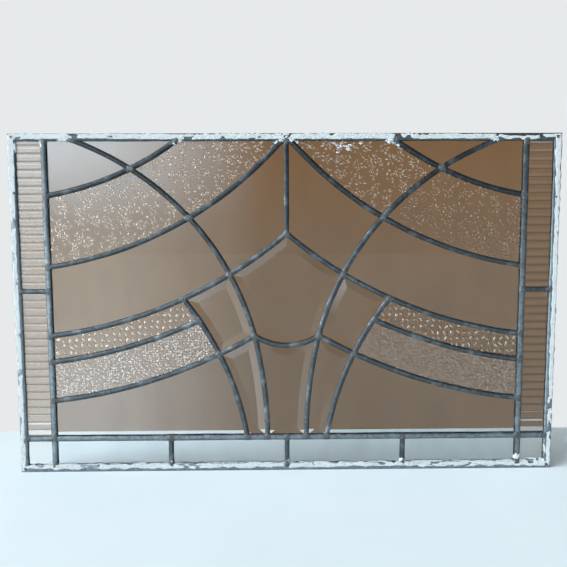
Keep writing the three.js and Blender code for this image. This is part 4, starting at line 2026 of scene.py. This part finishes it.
@dataclass(frozen=True)
class Crust:
    """A band of old paint along one side of the panel.

    Fields:
        inward: The way into the panel.
        band: How far in from the panel's edge the paint begins and ends, at distances from the start.
        cover: How much of it is still there, from 0 to 1.
        short: How far short of its corners it stops.
        patch_size: Distance between its bare patches along it.
        patch_shape: How many times less that is across it.
        patch_edge: The less, the sharper a patch's edge.
        lump: Height of the lumps on it, which are lump_size apart.
        shoulder: How many of its columns the rounded edge takes.
        tucked: How far under the lead it goes where it has come off.
        beyond: Height of its underside past the came under it.
    """

    name: str
    start: Pair
    end: Pair
    inward: Pair
    band: tuple[tuple[float, float, float], ...]
    cover: float = 0.9
    ragged: float = 0.6
    thickness: float = 0.3
    step: float = 0.9
    short: float = 0.6
    outline_wave: float = 7.0
    patch_size: float = 13.0
    patch_shape: float = 1.6
    patch_edge: float = 0.06
    lump: float = 0.14
    lump_size: float = 3.5
    shoulder: float = 1.5
    tucked: float = 0.35
    border: BorderSection = BorderSection()
    beyond: float = 2.0
    thin: float = 0.3

    def shape(self, side: float, seed: int, columns: int = 12, foot: float = 2.4) -> Shape:
        """The band as a grid that dips under the lead where the paint has come off.

        Its height is lead + (thickness + lumps) kept sqrt(rim) - tucked (1 - kept), where kept is 1 on paint
        and 0 on a bare patch, and rim rises from 0 at the band's edges to 1.

        Args:
            side: -1 for the panel's face, 1 for its back.
            seed: Which chips.
            columns: Steps across the band.
            foot: Height of the outline over the middle plane.

        Returns:
            The band as a closed body.
        """
        start, end, inward = (np.array(v, float) for v in (self.start, self.end, self.inward))
        length = np.hypot(*(end - start))
        along = np.linspace(self.short, length - self.short, round(length / self.step))[:, None]
        places, *edges = np.array(self.band).T
        near, far = (np.interp(along, places, edge) + self.ragged * self.stray(along, 9.0 * k, seed + k)
                     for k, edge in enumerate(edges))
        share = np.linspace(0, 1, columns + 1)
        across = near + share * (far - near)
        along = along + 0 * across
        on_came = (across > 0) & (across < self.border.half)
        lead = np.where(on_came, self.border.crown, self.beyond)
        patches = layered_noise(along, across * self.patch_shape, self.patch_size, seed + 5, 4)
        kept = np.clip((self.cover - patches / NOISE_SPAN - 0.5) / self.patch_edge + 0.5, 0, 1)
        lumps = self.lump * layered_noise(along, across, self.lump_size, seed + 9, 3)
        rim = np.clip(np.minimum(share, share[::-1]) * columns / self.shoulder, 0, 1)
        height = lead + (self.thickness + lumps) * kept * np.sqrt(rim) - self.tucked * (1 - kept)
        height[:, [0, -1]] = foot
        height[[0, -1]] = foot
        place = start + along[..., None] * (end - start) / length + across[..., None] * inward
        face = np.stack([place[..., 0], side * height, place[..., 1]], -1)
        loop = face.reshape(-1, 3)[grid_rim(*along.shape)] * (1, 0, 1) + (0, side * (foot - self.thin), 0)
        return backed(face, loop)

    def stray(self, along: Array, row: float, seed: int) -> Array:
        """How an outline strays along the band, from a row of its own in the noise."""
        return layered_noise(along, np.full_like(along, row), self.outline_wave, seed, 4)


@dataclass
class OldPaint:
    """White paint and putty left on the border and at the ends of the cames.

    Fields:
        spread: The size of the lumps, as a share of what each is given.
    """

    drawing: Drawing
    laid: LaidLead
    finish: PaintFinish = PaintFinish()
    spread: float = 0.9
    specks: int = 26

    def crusts(self) -> Iterable[Crust]:
        """The bands of paint on the four sides.

        Returns:
            The bands, one by one.
        """
        x, z = WIDTH / 2, HEIGHT
        yield Crust("top", (-x, z), (x, z), (0, -1),
                    ((0, -0.3, 7.0), (90, -0.2, 6.3), (180, 0.0, 7.2), (480, 0.0, 7.0), (560, 0.6, 7.2),
                     (585, 2.4, 7.8), (612, 3.2, 8.2), (630, 1.0, 5.0), (648, -0.5, 6.0)),
                    cover=0.88)
        yield Crust("left", (-x, 0), (-x, z), (1, 0),
                    ((0, 0.6, 4.5), (20, -0.2, 6.4), (140, -0.4, 6.6), (270, -0.2, 6.0), (400, -0.4, 8.0)),
                    cover=0.84)
        yield Crust("right", (x, 0), (x, z), (-1, 0),
                    ((0, 2.0, 6.0), (12, -0.6, 5.6), (200, -0.8, 5.4), (330, -0.7, 6.0), (400, -0.4, 8.2)),
                    cover=0.92, ragged=1.0)
        yield Crust("bottom", (-x, 0), (x, 0), (0, 1),
                    ((0, 3.4, 8.6), (60, 2.8, 9.2), (330, 3.0, 9.6), (400, 3.2, 9.2), (600, 2.8, 9.8),
                     (648, 2.4, 9.8)),
                    cover=0.80, ragged=1.2)

    def daubs(self) -> Iterable[Daub]:
        """The lumps at the feet of the dividers and uprights and at the tops of the sweeps.

        Returns:
            The lumps, one by one.
        """
        post, divider = self.drawing.upright_x, self.drawing.divider_x
        at_feet = ((-divider, 10.5, 3.4, 4.0), (0.6, 11.0, 3.2, 5.0), (divider, 10.0, 3.8, 5.0),
                   (post, 13.5, 4.2, 7.5), (-post - 3.5, 10.0, 5.0, 3.6))
        at_top = ((-6.0, 398.5, 5.5, 3.8), (6.5, 399.0, 5.5, 4.2), (0.0, 401.0, 4.0, 3.0),
                  (121.0, 398.6, 6.5, 4.0), (-125.0, 398.8, 6.0, 4.2), (-258.0, 399.0, 11.0, 2.8),
                  (246.0, 399.0, 10.0, 3.4), (-post - 2.2, 396.0, 2.6, 6.0))
        at_sides = ((-316.0, 392.0, 2.6, 8.0), (-316.2, 41.0, 3.2, 3.6), (303.0, 10.5, 9.0, 2.4),
                    (312.0, 9.5, 6.0, 3.0), (293.5, 9.8, 6.0, 2.2), (317.0, 24.0, 2.0, 9.0))
        on_sweeps = ((126.0, 396.2, 4.6, 2.6), (132.0, 392.4, 3.2, 1.8), (-131.0, 394.8, 4.0, 2.4),
                     (-11.0, 395.6, 3.4, 2.6), (11.5, 395.8, 3.8, 2.6))
        for x, z, across, up in (*at_feet, *at_top, *at_sides, *on_sweeps):
            yield Daub(x, z, (self.spread * across, self.spread * up), 0.33, full=3.2, ragged=0.42)

    def flakes(self) -> Iterable[Daub]:
        """Specks of paint on the glass of the right half's inner floral pane, under the top border.

        Returns:
            The specks, one by one.
        """
        rng = np.random.default_rng(61)
        across, up = rng.normal(68.0, 7.0, self.specks), rng.normal(391.5, 2.8, self.specks)
        for x, z, size in zip(across, up, rng.uniform(0.5, 1.5, self.specks)):
            yield Daub(float(x), min(float(z), 396.0), (size * 1.7, size * 0.8), 0.3, full=3.0, ragged=0.4)

    def build(self) -> None:
        """Makes each band, front and back, and the lumps on the face."""
        material = self.finish.material("old_paint")
        for number, crust in enumerate(self.crusts()):
            shape = crust.shape(-1.0, 300 + 40 * number).join(crust.shape(1.0, 320 + 40 * number))
            finish_piece(shape.build(f"paint_border_{crust.name}", material, sharp_deg=75.0), "old_paint")
        lumps = Shape()
        for number, daub in enumerate(self.daubs()):
            lumps.join(daub.shape(self.laid, -1.0, seed=900 + number, spokes=36, rings=9))
        for number, daub in enumerate(self.flakes()):
            lumps.join(daub.shape(self.laid, -1.0, seed=950 + number, spokes=10, rings=3, foot=1.3))
        finish_piece(lumps.build("paint_lumps", material, sharp_deg=75.0), "old_paint")


# ---------------------------------------------------------------- setting


@dataclass(frozen=True)
class Setting:
    """The camera, the light, the plain pale floor and backdrop, and the room that the panel mirrors.

    Fields:
        distance: From the camera to its aim, in metres.
        surround: Over the board behind the panel, with left_side and right_side next to it.
        room: In front of the panel, with below low down there.
        window: The veil of light round the window, with glare for the window.
        backdrop: What is seen directly.
    """

    distance: float = 0.78
    azimuth_deg: float = -0.79
    elevation_deg: float = 5.64
    roll_deg: float = -0.205
    aim: tuple[float, float, float] = (-0.0037, 0.0, 0.2295)
    lens_mm: float = 41.333333
    sensor_mm: float = 36.0
    board: Colour = (0.205, 0.112, 0.048)
    board_foot: Colour = (0.15, 0.095, 0.05)
    board_left: Colour = (0.345, 0.275, 0.21)
    board_left_foot: Colour = (0.385, 0.345, 0.315)
    board_left_top: Colour = (0.37, 0.335, 0.31)
    surround: Colour = (0.52, 0.52, 0.53)
    surround_right: Colour = (0.28, 0.245, 0.215)
    left_side: Colour = (0.62, 0.55, 0.48)
    right_side: Colour = (0.21, 0.185, 0.16)
    zenith: Colour = (0.22, 0.23, 0.24)
    room: Colour = (0.18, 0.19, 0.20)
    below: Colour = (0.56, 0.65, 0.70)
    window: Colour = (4.4, 5.3, 6.1)
    glare: Colour = (13.0, 12.7, 12.2)
    backdrop: Colour = (0.80, 0.82, 0.83)
    floor_colours: tuple[Colour, Colour] = ((0.68, 0.82, 0.91), (0.71, 0.85, 0.94))
    floor_from: Pair = (-2.5, -5.0)
    floor_to: Pair = (2.5, 0.15)

    def camera(self) -> None:
        """A camera a little above the panel's middle, looking slightly down on its face."""
        azimuth, elevation = math.radians(self.azimuth_deg), math.radians(self.elevation_deg)
        level = math.cos(elevation)
        outward = Vector((math.sin(azimuth) * level, -math.cos(azimuth) * level, math.sin(elevation)))
        data = bpy.data.cameras.new("camera")
        data.sensor_width = self.sensor_mm
        data.lens = self.lens_mm
        data.clip_end = 30.0
        camera = put_in_scene("camera", data)
        camera.location = Vector(self.aim) + outward * self.distance
        facing = (-outward).to_track_quat("-Z", "Y")
        camera.rotation_mode = "QUATERNION"
        camera.rotation_quaternion = facing @ Quaternion((0, 0, 1), math.radians(self.roll_deg))
        bpy.context.scene.camera = camera

    def floor(self) -> None:
        """A plain pale floor that ends a short way behind the panel."""
        mesh = bpy.data.meshes.new("floor")
        (left, front), (right, back) = self.floor_from, self.floor_to
        corners = [(left, front, 0), (right, front, 0), (right, back, 0), (left, back, 0)]
        mesh.from_pydata(corners, [], [(0, 1, 2, 3)])
        nodes = Nodes("floor")
        nodes.colour(nodes.ramp(nodes.noise(6, 2), *zip((NOISE_LOW, NOISE_HIGH), self.floor_colours)))
        nodes.plain(Roughness=0.6)
        mesh.materials.append(nodes.material)
        floor = put_in_scene("floor", mesh)

    def light(self, name: str, start: tuple[float, float, float], target: tuple[float, float, float],
              size: Pair, watts: float) -> None:
        """Hangs a soft rectangular light.

        Args:
            name: Its name.
            start: Where it hangs.
            target: Where it faces.
            size: Its width and height, in metres.
            watts: Its strength.
        """
        data = bpy.data.lights.new(name, "AREA")
        data.shape = "RECTANGLE"
        data.size, data.size_y = size
        data.energy = watts
        lamp = put_in_scene(name, data)
        lamp.location = start
        lamp.rotation_euler = (Vector(target) - Vector(start)).to_track_quat("-Z", "Y").to_euler()

    def world(self) -> None:
        """Soft light all round, behind a plain pale backdrop.

        What the glass and lead show is a room: behind the panel a warm brown board with pale walls round it,
        and in front a dim space with a tall pale window to the left. Seen directly, only the backdrop shows.
        """
        world = bpy.data.worlds.new("studio")
        world.use_nodes = True
        graph = Graph(world.node_tree)
        direction = graph.add("ShaderNodeTexCoord").outputs["Generated"]
        x, y, z = graph.add("ShaderNodeSeparateXYZ", {0: direction}).outputs
        sky = graph.mix(graph.scale(x, -0.25, 0.25), self.surround, self.surround_right)
        sky = graph.mix(graph.scale(z, 0.5, 0.9), sky, self.zenith)
        board = graph.mix(graph.scale(z, -0.2, 0.08), self.board_foot, self.board)
        pale = graph.mix(graph.scale(z, -0.24, -0.14), self.board_left_foot, self.board_left)
        pale = graph.mix(graph.scale(z, -0.06, 0.05), pale, self.board_left_top)
        board = graph.mix(graph.scale(x, -0.02, -0.24), board, pale)
        sides = graph.mix(graph.scale(x, -0.1, 0.1), self.left_side, self.right_side)
        behind = graph.mix(graph.scale(z, 0.14, 0.22), board, sky)
        behind = graph.mix(graph.scale(graph.maths("ABSOLUTE", x), 0.39, 0.43), behind, sides)
        window = graph.maths("MULTIPLY", graph.scale(x, 0.0, -0.42), graph.scale(z, 0.0, 0.10))
        window = graph.maths("MULTIPLY", window, graph.scale(z, 0.42, 0.22))
        glare = graph.maths("MULTIPLY", graph.scale(x, -0.46, -0.72), graph.scale(z, 0.0, 0.10))
        glare = graph.maths("MULTIPLY", glare, graph.scale(z, 0.8, 0.5))
        before = graph.mix(graph.scale(z, -0.06, 0.12), self.below, self.room)
        before = graph.mix(glare, graph.mix(window, before, self.window), self.glare)
        colour = graph.mix(graph.scale(y, -0.12, 0.12), before, behind)
        seen = graph.add("ShaderNodeLightPath").outputs["Is Camera Ray"]
        graph.feed(graph.tree.nodes["Background"].inputs["Color"], graph.mix(seen, colour, self.backdrop))
        bpy.context.scene.world = world

    def build(self) -> None:
        """Sets up everything round the panel."""
        bpy.context.scene.view_settings.view_transform = "Standard"
        self.camera()
        self.floor()
        self.world()
        self.light("key", (-1.8, -0.4, 1.2), (0, 0, 0.2), (0.5, 0.5), 9)


def write_sizes() -> None:
    """Brings the scene's placings up to date."""
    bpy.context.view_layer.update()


def main() -> None:
    """Builds the panel and its setting."""
    logging.basicConfig(level=logging.INFO, format="%(message)s")
    drawing = Drawing()
    Setting().build()
    Glazing(drawing).build()
    leading = Leading(drawing)
    leading.build()
    Soldering(drawing, leading.laid).build()
    OldPaint(drawing, leading.laid).build()
    write_sizes()


if __name__ == "__main__":
    main()
